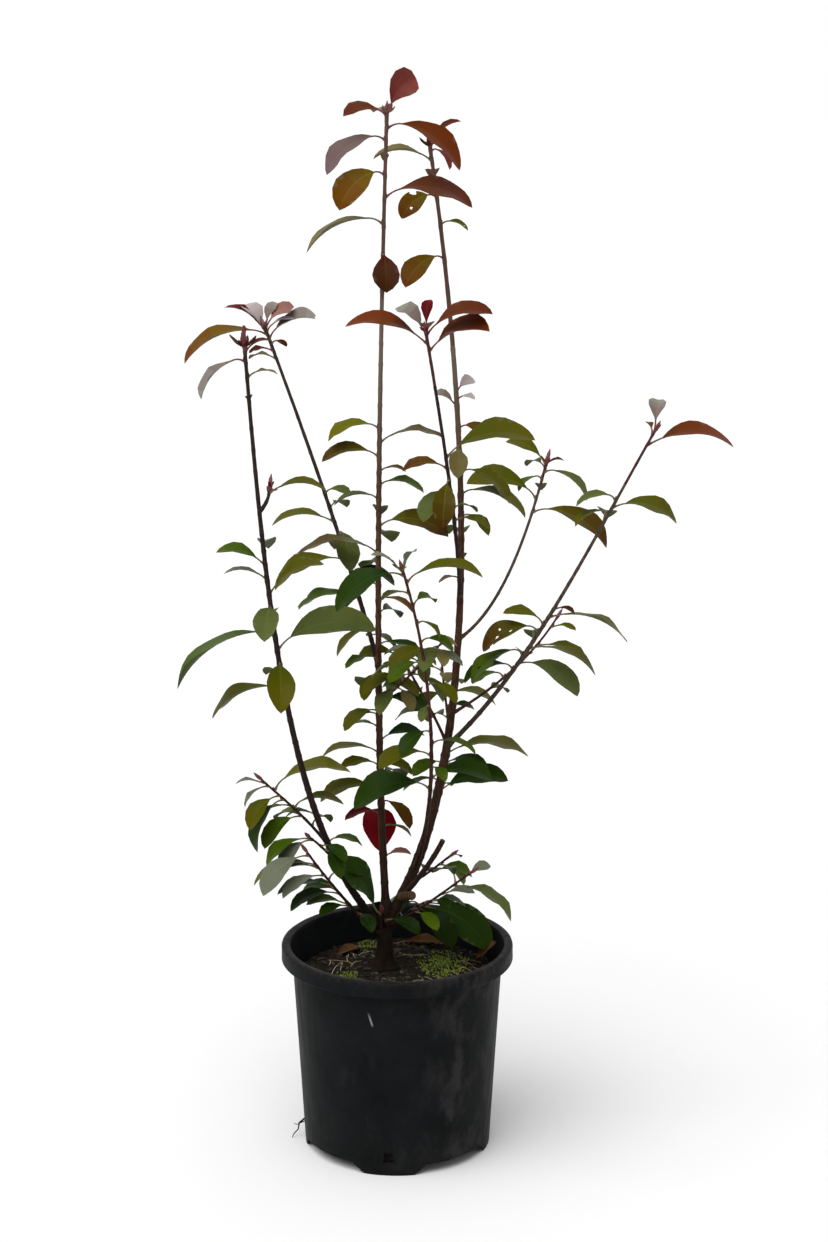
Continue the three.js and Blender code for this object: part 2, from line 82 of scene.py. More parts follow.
def shoot(parent, share, handles, tip, radii, **leafy):
    """A stem: it starts on its parent at a share of the parent's length, and has two handles, a tip, and
    its radii at its foot and tip. The solid of a leafy stretch is named after the stem and the stretch.
    A stretch has its ends as shares of the stem, the colours of its leaves from the lowest up, and
    then each leaf's bearing, length, lift and tilt."""
    return {"on": parent, "at": share, "handles": handles, "tip": tip, "radii": radii, "leafy": leafy}


STEMS = {
    "centre": shoot(
        "trunk", 1, [(-26, 10, 506), (-21, 35, 846)], (-10, 20, 1184), (4.6, 1.9),
        low_leaves=[
            (0.14, 0.34), "scarlet bronze olive dark olive olive dark green dark dark green",
            (95, 72, -40), (328, 42, -20), (184, 62, 4), (60, 48), (186, 40, 8), (176, 58, 8),
            (15, 46, 10), (150, 40), (184, 26), (352, 50, 0, 20), (110, 48),
        ],
        mid_leaves=[
            (0.34, 0.495), "olive green dark olive dark bronze deep green", (235, 34, -30), (205, 36, 6),
            (336, 46), (196, 50, -22), (60, 42), (340, 38), (200, 44, -20), (100, 52),
        ],
        upper_leaves=[
            (0.495, 0.6615), "ripening olive ripening green sage green ripening ripening ripening yellow",
            (184, 82, 16, 4), (75, 52), (2, 70, 4, 12), (85, 36), (182, 44), (6, 44, 6), (355, 24, 6),
            (181, 56, 6), (5, 64, 20), (178, 52, -4),
        ],
        crown=[
            (0.785, 1), "bronze maroon khaki russet honey khaki mauve orange pink russet rosy", (85, 30),
            (272, 48, -30), (183, 82, -6, 20), (0, 86, 14, 22), (204, 60, -16, -26), (92, 20, -10),
            (181, 68, -18, -28), (357, 84, -12, 4), (110, 40, 20), (176, 40, 10, -8), (35, 44, 64, 50),
        ],
    ),
    "right": shoot(
        "trunk", 0.72, [(89, 21, 407), (92, 74, 768)], (37, 87, 1141), (6.6, 2),
        low_leaves=[
            (0.25, 0.322), "dark green dark dark olive", (2, 70, 30), (185, 38), (75, 52), (345, 44, 14),
            (0, 84, 14, -6),
        ],
        mid_leaves=[
            (0.53, 0.75), "mauve green olive olive olive olive khaki bronze ash", (185, 20, -4), (90, 24),
            (85, 40), (2, 34, -24, 10), (352, 70, -4), (350, 60, -22), (262, 44, -20), (340, 28, 0, 30),
            (170, 22, 40),
        ],
        crown=[
            (0.865, 1), "honey olive honey russet khaki rosy russet", (222, 56, -12, -10),
            (4, 26, -6, 20), (210, 42, -20, -42), (90, 34), (181, 56, 18), (330, 28, -30), (12, 36, 58),
        ],
    ),
    "left": shoot(
        "trunk", 0.6, [(-122, -35, 375), (-142, -99, 674)], (-158, -139, 956), (4.8, 1.9),
        mid_leaves=[
            (0.49, 0.742), "green olive olive olive sage green olive sage olive silver green silver",
            (95, 50), (184, 78, -4), (120, 34), (272, 66, -14), (6, 98, 30, 16), (187, 112, -10, 32),
            (95, 46), (268, 56, -6), (3, 58, 44, 12), (178, 40, 22), (183, 46, 32, -10), (85, 44),
        ],
        crown=[
            (0.91, 1), "bronze khaki ash maroon crimson", (92, 16), (2, 26, 20), (190, 56, -22, 6),
            (20, 24, 30), (100, 26, 50),
        ],
    ),
    "left_spur": shoot(
        "left", 0.785, [(-138, -115, 784), (-136, -112, 790)], (-135, -109, 799), (1.8, 1.6),
        crown=[(0, 1), "crimson olive", (80, 26, 20), (4, 52, 16)],
    ),
    "inner_left": shoot(
        "centre", 0.362, [(-39, 45, 637), (-98, 125, 793)], (-152, 173, 927), (2.9, 1.7),
        leaves=[
            (0.24, 0.58), "green green dark olive bronze sage olive olive sage", (182, 64, 6), (85, 50),
            (350, 46), (182, 80, -10, 6), (100, 46), (284, 54, -26), (182, 62, 6), (60, 34),
            (350, 26, 10),
        ],
        crown=[
            (0.9, 1), "khaki maroon maroon ash honey pale pink crimson ash", (150, 30, 6), (192, 22, 10),
            (330, 16), (2, 52, 36, 14), (186, 90, -6, 10), (150, 34, 60), (15, 34, 46), (176, 42, 48),
            (60, 26, 70),
        ],
    ),
    "inner_right": shoot(
        "right", 0.528, [(67, -3, 741), (48, -67, 865)], (32, -99, 966), (2.4, 1.6),
        leaves=[
            (0.24, 0.56), "olive olive green sage sage ripening bronze olive", (100, 30, -10), (340, 36),
            (40, 30), (100, 34, -6), (228, 46, -16), (265, 54, -40), (182, 42, 6), (4, 88, 32),
        ],
        crown=[
            (0.91, 1), "orange orange bronze russet ash crimson", (350, 60, 35, 16), (181, 78, 32, -2),
            (95, 38, 20), (3, 64, 36, 10), (162, 34, 50), (80, 30, 72),
        ],
    ),
    "back_right": shoot(
        "right", 0.472, [(116, 87, 611), (147, 131, 679)], (173, 176, 767), (2, 1.5),
        crown=[
            (0.75, 1), "ripening olive green sage sage olive olive maroon", (358, 86, -14),
            (180, 74, 28, -20), (85, 30), (195, 28, -20), (352, 54, -24), (120, 36), (165, 46, 42),
            (20, 16, 10),
        ],
    ),
    "far_right": shoot(
        "right", 0.328, [(146, -35, 574), (209, -99, 735)], (273, -147, 870), (3, 1.4),
        low_leaves=[
            (0.28, 0.5), "dark sage green olive green ripening olive olive maroon", (190, 52, -6),
            (345, 66, -10), (190, 62, -14), (348, 70, -8, -6), (90, 40), (184, 60, -4), (170, 40, 24),
            (354, 80, -5, -10), (10, 18),
        ],
        mid_leaves=[
            (0.73, 0.81), "green olive olive sage", (80, 44), (190, 34, -10), (2, 64, -4, 10),
            (178, 38, 6),
        ],
        crown=[(0.93, 1), "orange bronze ash", (2, 82, 18, -6), (100, 16, 30), (75, 30, 66)],
    ),
    "short_right": shoot(
        "right", 0.374, [(106, 45, 529), (152, 53, 564)], (182, 58, 613), (1.8, 1.2),
        leaves=[
            (0, 1), "green green green olive olive", (60, 38), (200, 34), (80, 44), (355, 54, -12),
            (350, 22, 4),
        ],
    ),
    "inner_back": shoot(
        "right", 0.331, [(42, 45, 504), (17, 45, 548)], (-1, 29, 585), (1.8, 1.2),
        leaves=[
            (0, 1), "green sage dark sage olive", (150, 44), (110, 50), (170, 34), (120, 40), (340, 40),
        ],
    ),
    "inner_spur": shoot(
        "right", 0.345, [(60, 74, 492), (54, 103, 505)], (52, 122, 540), (1.8, 1.2),
        leaves=[
            (0, 1), "green dark olive sage olive", (120, 46), (30, 30, 6), (4, 54), (70, 44), (150, 38),
        ],
    ),
    "cross_twig": shoot(
        "centre", 0.313, [(4, -19, 555), (24, -43, 581)], (49, -67, 616), (1.6, 1.1),
        leaves=[
            (0, 1), "sage olive sage sage silver khaki", (250, 42, -10), (200, 46), (330, 40, -20),
            (150, 30), (10, 34), (280, 32),
        ],
    ),
    "front": shoot(
        "right", 0.12, [(46, -67, 419), (48, -83, 567)], (7, -115, 711), (2.8, 1.4),
        low_leaves=[
            (0.33, 0.56), "dark dark green olive green dark", (186, 80, -2, -10), (0, 60, 10), (300, 26),
            (200, 54), (345, 44), (230, 44, -10),
        ],
        crown=[
            (0.82, 1), "olive green sage olive dark silver silver", (350, 26, -26), (60, 38), (200, 26),
            (0, 74, 16), (184, 74, -16), (200, 34, 50), (300, 30, 62),
        ],
    ),
    "cut_stub": shoot("right", 0.05, [(26, -12, 326), (40, -18, 346)], (52, -22, 373), (3.2, 3)),
    "low_right": shoot(
        "trunk", 0.62, [(32, -32, 296), (52, -52, 322)], (84, -70, 352), (1.8, 1.2),
        leaves=[
            (0, 1), "green dark silver sage silver", (310, 34), (20, 40), (4, 30, 14), (345, 66, -16),
            (30, 26, 24, 20),
        ],
    ),
    "low_right_back": shoot(
        "right", 0.09, [(34, 26, 314), (46, 38, 322)], (62, 50, 330), (1.7, 1.2),
        leaves=[(0, 1), "dark green sage dark", (80, 48), (20, 42), (340, 30, -20), (60, 22)],
    ),
    "low_left": shoot(
        "left", 0.24, [(-109, -26, 409), (-131, -34, 429)], (-152, -42, 452), (1.8, 1.2),
        leaves=[
            (0, 1), "green olive dark yellow silver", (130, 44), (6, 50, 10), (206, 60, -46),
            (13, 80, 26), (180, 26, 10),
        ],
    ),
    "low_left_front": shoot(
        "left", 0.2, [(-86, -40, 374), (-92, -58, 384)], (-98, -70, 394), (1.7, 1.2),
        leaves=[(0, 1), "dark green", (310, 36), (186, 52, -14)],
    ),
    "base_left": shoot(
        "trunk", 0.4, [(-56, -34, 301), (-77, -62, 338)], (-101, -76, 379), (2.2, 1.3),
        leaves=[
            (0, 1), "deep green dark deep silver olive silver", (290, 34), (190, 40, 24), (150, 44, 10),
            (200, 54, 10), (215, 50, 6), (178, 66, -8), (204, 60, -16),
        ],
    ),
    "base_front": shoot(
        "trunk", 0.6, [(-16, -12, 272), (-16, -22, 280)], (-17, -32, 292), (2, 1.4),
        leaves=[(0, 1), "deep dark", (330, 40), (212, 84, 74, -34)],
    ),
    "base_back": shoot(
        "trunk", 0.5, [(12, 26, 270), (24, 40, 274)], (34, 52, 272), (2.2, 1.4),
        leaves=[
            (0, 1), "dark deep dark deep", (110, 66), (322, 62, -14, 12), (346, 84, -10, 22),
            (20, 70, -16),
        ],
    ),
}

# Leaf colours as sRGB: the blade at its foot and at its tip, the midrib above, and the underside.
TINTS = {
    "rosy": (0x6E2E28, 0x7C3C34, 0x92584A, 0x744A42),
    "russet": (0x5E3014, 0x5C260E, 0x7E5230, 0x664232),
    "orange": (0x5E2C02, 0x722E06, 0x8A501C, 0x704432),
    "bronze": (0x5C4204, 0x58340C, 0x806630, 0x624E34),
    "honey": (0x6C5806, 0x6C3C08, 0x8A7830, 0x6A5A36),
    "yellow": (0x626600, 0x6A6406, 0x8A8A34, 0x686834),
    "ripening": (0x525004, 0x4C320C, 0x7C7632, 0x5A5430),
    "olive": (0x4E5200, 0x585404, 0x7C8030, 0x5A602E),
    "green": (0x384E00, 0x485C0A, 0x708038, 0x4E5C2C),
    # The next tint is a grey-green leaf with a painted reflection of the pale sky on its upper face.
    "sage": (0x4E5626, 0x5A6430, 0x808A50, 0x5E683C),
    # The next two tints are deep greens darkened further with painted shade, for leaves that stand in shade
    # inside the shrub.
    "dark": (0x1C3604, 0x2A3E08, 0x566C30, 0x3C4C26),
    "deep": (0x102400, 0x1A2C00, 0x4C602C, 0x32421E),
    # The next tint is a green leaf painted pale grey with the reflection of the pale sky on its upper face.
    "silver": (0x666C58, 0x727862, 0x90987A, 0x6E7660),
    # The next tint is a red leaf greyed with a painted reflection of the pale sky.
    "mauve": (0x6E5C54, 0x745E60, 0x907C70, 0x74625C),
    "crimson": (0x4C0406, 0x660A14, 0x823A34, 0x642A2A),
    "maroon": (0x481C04, 0x3E2004, 0x724626, 0x52342A),
    "pink": (0x986E62, 0x8C5E56, 0xAE8878, 0x8A6C60),
    "scarlet": (0x8E0814, 0x7A0A1A, 0xA0403A, 0x84101A),
    "khaki": (0x6C6034, 0x786E40, 0x8E865A, 0x6C6444),
    "ash": (0x74605A, 0x8E8A80, 0x989286, 0x8A847A),
    "pale": (0xAA9A96, 0xB8AEAC, 0xC4BAB4, 0xAEA4A0),
}
# A tint is the leaf as it looks in full light; its base colour is this share of that.
SHADE = 0.68
# A blade's colours: so many bands from foot to tip, then the midrib, then the underside.
BANDS = 4
RIB, UNDER = BANDS, BANDS + 1
BRONZE_TINTS = (
    "rosy", "russet", "orange", "bronze", "honey", "crimson", "maroon", "pink", "mauve", "scarlet",
    "ash", "pale",
)

# Leaves that something has eaten: their stretch and number, then each hole's or bite's place along
# and across the blade, as shares of its length and half width, and its radius in millimetres.
CHEWED = {
    ("far_right_low_leaves", 5): [(0.34, 0.3, 1.9), (0.5, -0.35, 1.2), (0.62, 0.15, 2.2), (0.8, 1.0, 4)],
    ("right_crown", 2): [(0.3, -0.9, 3.2), (0.62, 0.3, 1.5)],
    ("right_crown", 1): [(0.75, 0.2, 1.0)],
    ("inner_left_crown", 3): [(0.99, 0.2, 3.6), (0.88, -0.8, 2.8), (0.6, -1.0, 1.6)],
    ("inner_left_leaves", 0): [(0.9, 0.7, 4), (1.0, -0.1, 5), (0.74, -1.0, 2.6)],
    ("far_right_low_leaves", 2): [(0.4, 0.95, 3), (0.7, -0.2, 1.4)],
    ("left_crown", 1): [(0.5, 0.9, 3), (0.8, -0.9, 3)],
    ("left_mid_leaves", 1): [(1.0, 0.3, 3)],
}

# Leaves of an uncommon form: how much wider they are, where the widest place lies, and a deeper fold.
COMMON_FORM = (1, None, 0)
FORMS = {
    ("centre_low_leaves", 0): (1.05, 1.0, -4),
    ("centre_crown", 1): (1.2, 1.4, 0),
    ("centre_crown", 4): (1.12, 1.1, 0),
    ("centre_crown", 9): (1.15, 1.4, 0),
    ("centre_crown", 10): (1.55, 1.4, 12),
    ("right_mid_leaves", 8): (1.7, 1.2, 8),
    ("right_crown", 2): (1.2, 1.1, 0),
    ("right_crown", 5): (0.75, 1.1, 26),
    ("right_crown", 6): (0.6, 1.1, 26),
    ("left_crown", 2): (1.25, 1.4, 0),
    ("left_crown", 4): (0.4, 1.0, 30),
    ("inner_left_crown", 3): (1.35, 1.3, 0),
    ("inner_left_crown", 5): (1.9, 1.3, 6),
    ("inner_left_crown", 6): (1.9, 1.6, 0),
    ("inner_left_crown", 8): (1.3, 1.2, 10),
    ("inner_right_crown", 0): (1.55, 1.1, 4),
    ("inner_right_crown", 4): (2.1, 1.35, 4),
    ("inner_right_crown", 5): (0.95, 1.4, 14),
    ("far_right_crown", 2): (1.35, 1.6, 14),
}

# Small leaves between the others: the stem, then for each leaf its place on the stem, its bearing,
# length, lift, tilt and colour.
SMALL = [
    ("inner_left", [(0.985, 350, 30, 34, -10, "pale")]),
    ("centre", [
        (0.15, 184, 36, 10, 0, "crimson"), (0.08, 2, 26, 14, 10, "pink"),
        (0.13, 350, 30, -2, -10, "olive"),
    ]),
    ("low_left", [
        (0.34, 196, 48, -24, -10, "green"), (0.5, 170, 40, -14, 0, "green"),
        (0.68, 215, 44, -34, -10, "olive"), (0.2, 60, 36, 4, 0, "green"),
        (0.86, 182, 30, -30, 0, "silver"),
    ]),
    ("low_left_front", [(0.3, 300, 40, -16, 0, "dark"), (0.75, 195, 46, -30, -12, "silver")]),
    ("base_left", [
        (0.5, 182, 50, -4, -12, "deep"), (0.36, 200, 30, 2, -20, "dark"), (0.66, 30, 38, 6, 10, "dark"),
        (0.8, 176, 40, 6, -6, "silver"),
    ]),
    ("left", [(0.24, 12, 36, 0, 10, "green"), (0.3, 168, 30, 8, 0, "dark")]),
    ("cross_twig", [
        (0.3, 300, 34, -12, 0, "khaki"), (0.5, 120, 38, 4, 0, "olive"), (0.7, 280, 32, -6, 20, "sage"),
        (0.9, 40, 30, 10, 10, "khaki"), (0.6, 190, 46, 6, 20, "sage"), (0.75, 160, 42, 12, 0, "silver"),
        (0.85, 214, 48, -4, -20, "olive"), (0.95, 250, 38, -8, 0, "sage"),
    ]),
    ("front", [
        (0.62, 250, 22, -18, 0, "sage"), (0.68, 330, 34, -14, 0, "olive"),
        (0.74, 200, 38, -10, -10, "green"), (0.8, 10, 34, -12, 10, "green"),
    ]),
    ("inner_spur", [(0.6, 200, 36, -4, -14, "olive"), (0.85, 280, 30, 10, 0, "khaki")]),
    ("inner_back", [
        (0.7, 230, 36, -10, 0, "sage"), (0.9, 180, 40, 8, -14, "olive"), (0.95, 140, 42, 24, 10, "sage"),
    ]),
    ("centre", [
        (0.34, 350, 42, -8, 10, "olive"), (0.3, 205, 40, -14, -10, "olive"),
        (0.22, 20, 36, -4, 14, "olive"),
    ]),
    ("right", [
        (0.26, 60, 28, 0, 0, "sage"), (0.3, 200, 34, -6, -10, "green"), (0.752, 50, 30, 30, 30, "pale"),
        (0.744, 320, 20, 20, 20, "pale"),
    ]),
    ("low_right", [(0.5, 300, 26, 10, 0, "deep"), (0.8, 100, 30, 20, 0, "dark")]),
    ("base_back", [(0.7, 200, 40, -14, 0, "deep"), (0.9, 300, 44, -24, 0, "dark")]),
]

# Unfolding leaflets round a tip: the stem, how many, their length, and their colours.
FLUSH = {
    "centre": (6, 14, ("pink", "rosy", "mauve")),
    "right": (4, 13, ("maroon", "russet")),
    "inner_right": (4, 10, ("crimson", "rosy")),
    "inner_left": (3, 11, ("mauve", "crimson")),
    "left": (8, 17, ("crimson", "maroon")),
    "back_right": (4, 11, ("crimson", "russet")),
    "front": (4, 12, ("sage", "ash")),
    "far_right": (2, 9, ("rosy",)),
    "left_spur": (2, 9, ("crimson",)),
}
FLUSH_FORM = (0.8, 1.15, 0)
# Least and most lean from the stem, share of the length, and degrees of fold, and the turn between two.
FLUSH_SPREAD = {"lean": (0.35, 0.95), "size": (0.6, 1.25), "fold": (30, 48), "turn": 2.4, "bend": 0.18}
# The buds at these tips are larger: their length in millimetres.
LARGE_BUDS = {"left": 25, "back_right": 19, "left_spur": 17, "centre": 15, "inner_right": 14, "right": 16}
# Where each thing's random numbers begin.
SEEDS = {"bark": 7000, "small": 7000, "flush": 8000, "chips": 501, "straw": 502, "moss": 503, "fallen": 520}


def linear(colour):
    """An sRGB hex colour as the linear RGBA that a shader takes."""
    parts = [((colour >> shift) & 255) / 255 for shift in (16, 8, 0)]
    return [c / 12.92 if c <= 0.04045 else ((c + 0.055) / 1.055) ** 2.4 for c in parts] + [1]


def blend_hex(first, second, share):
    """The sRGB hex colour at a share of the way from the first to the second."""
    mixed = 0
    for shift in (16, 8, 0):
        a, b = (first >> shift) & 255, (second >> shift) & 255
        mixed |= round(a + (b - a) * share) << shift
    return mixed


def seeded(seed):
    """The plant's own seeded generator: numbers from 0 to 1, the same in every run."""
    state = seed & MASK
    while True:
        state = (state + 0x6D2B79F5) & MASK
        t = ((state ^ (state >> 15)) * (1 | state)) & MASK
        t = (((t + (((t ^ (t >> 7)) * (61 | t)) & MASK)) & MASK) ^ t) & MASK
        yield (t ^ (t >> 14)) / 4294967296


def between(random, low, high):
    return low + (high - low) * next(random)


# Materials.
def add_node(tree, kind, inputs=(), **settings):
    """Adds a node, sets its properties and its inputs, and returns it. An input is a value or a socket."""
    made = tree.nodes.new(kind)
    for key, value in settings.items():
        setattr(made, key, value)
    for key, value in dict(inputs).items():
        if isinstance(value, bpy.types.NodeSocket):
            tree.links.new(value, made.inputs[key])
        else:
            made.inputs[key].default_value = value
    return made


def new_material(name, **values):
    """A Principled material with these plain values, its tree and its shader node."""
    material = bpy.data.materials.new(name)
    material.use_nodes = True
    shader = material.node_tree.nodes["Principled BSDF"]
    for key, value in values.items():
        shader.inputs[key.replace("_", " ")].default_value = value
    return material, material.node_tree, shader


def colour_steps(tree, factor, steps):
    """A colour ramp through (place, sRGB hex) steps."""
    ramp = add_node(tree, "ShaderNodeValToRGB", {"Fac": factor})
    stops = ramp.color_ramp.elements
    while len(stops) < len(steps):
        stops.new(0.5)
    for stop, (place, colour) in zip(stops, steps):
        stop.position = place
        stop.color = linear(colour)
    return ramp.outputs["Color"]


def place_noise(tree, millimetres, stretch=(1, 1, 1), detail=4, roughness=0.55, shift=0):
    """Noise on Object coordinates whose features are about this many millimetres across."""
    coords = add_node(tree, "ShaderNodeTexCoord").outputs["Object"]
    size = 1 / (millimetres * MM)
    inputs = {"Vector": coords, "Scale": [size / s for s in stretch], "Location": (shift, shift, shift)}
    mapped = add_node(tree, "ShaderNodeMapping", inputs).outputs["Vector"]
    inputs = {"Vector": mapped, "Scale": 1, "Detail": detail, "Roughness": roughness}
    return add_node(tree, "ShaderNodeTexNoise", inputs).outputs["Fac"]


def bump(tree, shader, height, millimetres, strength=1):
    inputs = {"Height": height, "Distance": millimetres * MM, "Strength": strength}
    made = add_node(tree, "ShaderNodeBump", inputs)
    tree.links.new(made.outputs["Normal"], shader.inputs["Normal"])


def maths(tree, operation, *values):
    """The result of one operation on values or sockets."""
    return add_node(tree, "ShaderNodeMath", enumerate(values), operation=operation).outputs[0]


def object_place(tree):
    """Object coordinates, in metres, and their three parts."""
    coords = add_node(tree, "ShaderNodeTexCoord").outputs["Object"]
    return coords, add_node(tree, "ShaderNodeSeparateXYZ", {"Vector": coords}).outputs


def tone(tree, value, low, high, out_low, out_high):
    """A value's range mapped onto another range, held at its ends."""
    inputs = {"Value": value, "From Min": low, "From Max": high, "To Min": out_low, "To Max": out_high}
    return add_node(tree, "ShaderNodeMapRange", inputs).outputs["Result"]


def mix_colours(tree, factor, first, second):
    made = add_node(tree, "ShaderNodeMix", data_type="RGBA")
    for socket, value in ((0, factor), (6, first), (7, second)):
        if isinstance(value, bpy.types.NodeSocket):
            tree.links.new(value, made.inputs[socket])
        else:
            made.inputs[socket].default_value = linear(value) if socket else value
    return made.outputs[2]


def moulded_polypropylene():
    """Recycled black polypropylene: a soft satin black, dulled by dust low down and scuffed grey where
    other pots have rubbed it."""
    material, tree, shader = new_material("moulded_polypropylene", IOR=1.49, Specular_IOR_Level=0.05)
    _, (x, y, z) = object_place(tree)
    cloud = place_noise(tree, 45, detail=3)
    colour = colour_steps(tree, cloud, [(0.3, 0x0B0C0D), (0.7, 0x121415)])
    # Rubbed patches on the front right.
    rub = place_noise(tree, 26, stretch=(1, 1, 1.7), detail=6, roughness=0.68, shift=3.1)
    right, front = tone(tree, x, 0.012, 0.06, 0, 1), tone(tree, y, -0.02, -0.06, 0, 1)
    side = maths(tree, "MULTIPLY", right, front)
    rubbed = maths(tree, "MULTIPLY", tone(tree, rub, 0.47, 0.66, 0, 0.85), side)
    scuffed = maths(tree, "MAXIMUM", rubbed, tone(tree, rub, 0.56, 0.75, 0, 0.3))
    colour = mix_colours(tree, scuffed, colour, 0x2C2A2C)
    # One short pale scratch near the rim, at the front: it leans, so its x falls as z rises.
    lean, at_foot = -0.3, 0.0285
    middle = maths(tree, "MULTIPLY_ADD", z, lean, at_foot)
    away = maths(tree, "ABSOLUTE", maths(tree, "SUBTRACT", x, middle))
    thin = tone(tree, away, 0.0006, 0.0015, 1, 0)
    tall = maths(tree, "MULTIPLY", tone(tree, z, 0.184, 0.188, 0, 1), tone(tree, z, 0.194, 0.202, 1, 0))
    near = maths(tree, "MULTIPLY", thin, tall)
    here = maths(tree, "MULTIPLY", near, tone(tree, y, 0, -0.05, 0, 0.7))
    colour = mix_colours(tree, here, colour, 0x8A8E8C)
    # Fine pale dust and splashes of soil round the foot and on the rim's upper edge.
    dust = place_noise(tree, 4, detail=6, roughness=0.75, shift=1.7)
    low, high = tone(tree, z, 0, 0.075, 0.15, 0), tone(tree, z, 0.236, 0.243, 0, 0.5)
    dusty = maths(tree, "MULTIPLY", maths(tree, "MAXIMUM", low, high), tone(tree, dust, 0.45, 0.7, 0, 1))
    colour = mix_colours(tree, dusty, colour, 0x38342C)
    tree.links.new(colour, shader.inputs["Base Color"])
    sheen = place_noise(tree, 8, stretch=(1, 1, 6), detail=4, shift=5.2)
    tree.links.new(tone(tree, sheen, 0.3, 0.7, 0.42, 0.58), shader.inputs["Roughness"])
    bump(tree, shader, place_noise(tree, 1.6, detail=2), 0.12, 0.5)
    return material


def composted_bark_mix():
    """Composted bark and peat: almost black when damp, dead matt, crumbly at 1 to 8 mm."""
    material, tree, shader = new_material("composted_bark_mix", Roughness=0.95, Specular_IOR_Level=0.1)
    crumbs = place_noise(tree, 5, detail=8, roughness=0.7)
    fine = place_noise(tree, 1.3, detail=4, shift=2.4)
    steps = [(0.3, 0x0A0806), (0.5, 0x18110B), (0.62, 0x2A2015), (0.75, 0x443724)]
    colour = colour_steps(tree, crumbs, steps)
    colour = mix_colours(tree, tone(tree, fine, 0.64, 0.74, 0, 0.4), colour, 0x50442E)
    # A film of algae tints the damp surface round the moss.
    patch = place_noise(tree, 30, detail=3, shift=8.0)
    colour = mix_colours(tree, tone(tree, patch, 0.5, 0.68, 0, 0.5), colour, 0x2C3014)
    tree.links.new(colour, shader.inputs["Base Color"])
    bump(tree, shader, maths(tree, "ADD", crumbs, fine), 1.6)
    return material


LENTICEL, DAMP_AND_SHADED_BARK = 0x9A8A76, 0x140A05


def photinia_bark(name, dark, middle, pale, weathered, roughness):
    """Young photinia bark: thin and smooth, finely fissured along the stem, with pale lenticels. Low down
    it is darkened almost to black, partly because it is damp and partly as painted shade under the leaves;
    it weathers greyer towards the light."""
    material, tree, shader = new_material(name, Roughness=roughness, Specular_IOR_Level=0.12)
    fissures = place_noise(tree, 2.2, stretch=(1, 1, 7), detail=6, roughness=0.65)
    blotch = place_noise(tree, 14, stretch=(1, 1, 2), detail=3, shift=4.0)
    coords, (_, _, height) = object_place(tree)
    colour = colour_steps(tree, fissures, [(0.32, dark), (0.5, middle), (0.72, pale)])
    colour = mix_colours(tree, tone(tree, blotch, 0.45, 0.7, 0, 0.35), colour, pale)
    colour = mix_colours(tree, tone(tree, height, 0.74, 0.92, 0, 0.75), colour, weathered)
    cells = add_node(tree, "ShaderNodeTexVoronoi", {"Vector": coords, "Scale": 1 / (4.5 * MM)})
    lenticels = tone(tree, cells.outputs["Distance"], 0.1, 0.16, 1, 0)
    spots = maths(tree, "MULTIPLY", lenticels, 0.45)
    colour = mix_colours(tree, spots, colour, blend_hex(pale, LENTICEL, 0.5))
    # Painted shade: the bark darkens almost to black low down, partly damp bark and partly the shade under
    # the leaves.
    colour = mix_colours(tree, tone(tree, height, 0.26, 0.62, 0.85, 0), colour, DAMP_AND_SHADED_BARK)
    tree.links.new(colour, shader.inputs["Base Color"])
    bump(tree, shader, maths(tree, "ADD", fissures, lenticels), 0.35, 0.7)
    return material


def leaf_materials(tint):
    """A photinia leaf: a leathery blade with a waxy cuticle, so a soft gloss above and a dull, paler
    underside. Its colour runs from foot to tip in plain steps, and the midrib is paler."""
    foot, tip, rib, under = TINTS[tint]
    looks = [(f"band_{i}", blend_hex(foot, tip, i / (BANDS - 1)), 0.4) for i in range(BANDS)]
    looks += [("rib", blend_hex(rib, foot, 0.7), 0.46), ("under", under, 0.62)]
    made = []
    for label, colour, rough in looks:
        red, green, blue, _ = linear(colour)
        material, _, _ = new_material(
            f"leathery_leaf_{tint}_{label}", Base_Color=(red * SHADE, green * SHADE, blue * SHADE, 1),
            Roughness=rough, IOR=1.45, Specular_IOR_Level=0.05,
        )
        made.append(material)
    return made


def plain_material(name, colour, roughness, **values):
    return new_material(name, Base_Color=linear(colour), Roughness=roughness, **values)[0]


# Growing shapes out of rings.
class Growth:
    """The rings and faces of one joined piece, gathered until it is made. Lengths in millimetres."""

    def __init__(self):
        self.points = []
        self.faces = []
        self.slots = []

    def face(self, corners, slot=0):
        self.faces.append(corners)
        self.slots.append(slot)

    def ring(self, points):
        first = len(self.points)
        self.points.extend(points)
        return list(range(first, first + len(points)))

    def loft(self, rings, slot_of=lambda k, j: 0):
        """A closed body through rings of equally many points, capped at both ends. The last ring may
        be one point."""
        rows = [self.ring(r) for r in rings]
        n = len(rows[0])
        self.face(list(rows[0]), slot_of(0, 0))
        for k in range(len(rows) - 1):
            low, high = rows[k], rows[k + 1]
            for j in range(n):
                i = (j + 1) % n
                if len(high) == 1:
                    self.face([low[j], high[0], low[i]], slot_of(k, j))
                else:
                    self.face([low[j], high[j], high[i], low[i]], slot_of(k, j))
        if len(rows[-1]) > 1:
            self.face(list(reversed(rows[-1])), slot_of(len(rows) - 2, 0))

    def piece(self, name, materials, smooth=50):
        """The finished piece, with its faces turned outwards and its hard edges kept."""
        mesh = bpy.data.meshes.new(name)
        mesh.from_pydata([[c * MM for c in p] for p in self.points], [], self.faces)
        mesh.polygons.foreach_set("material_index", self.slots)
        for material in materials:
            mesh.materials.append(material)
        piece = bpy.data.objects.new(name, mesh)
        bpy.context.scene.collection.objects.link(piece)
        finish_mesh(piece, smooth)
        return piece


def only(*pieces):
    """Selects these objects alone, the first one active."""
    bpy.ops.object.select_all(action="DESELECT")
    for piece in pieces:
        piece.select_set(True)
    bpy.context.view_layer.objects.active = pieces[0]


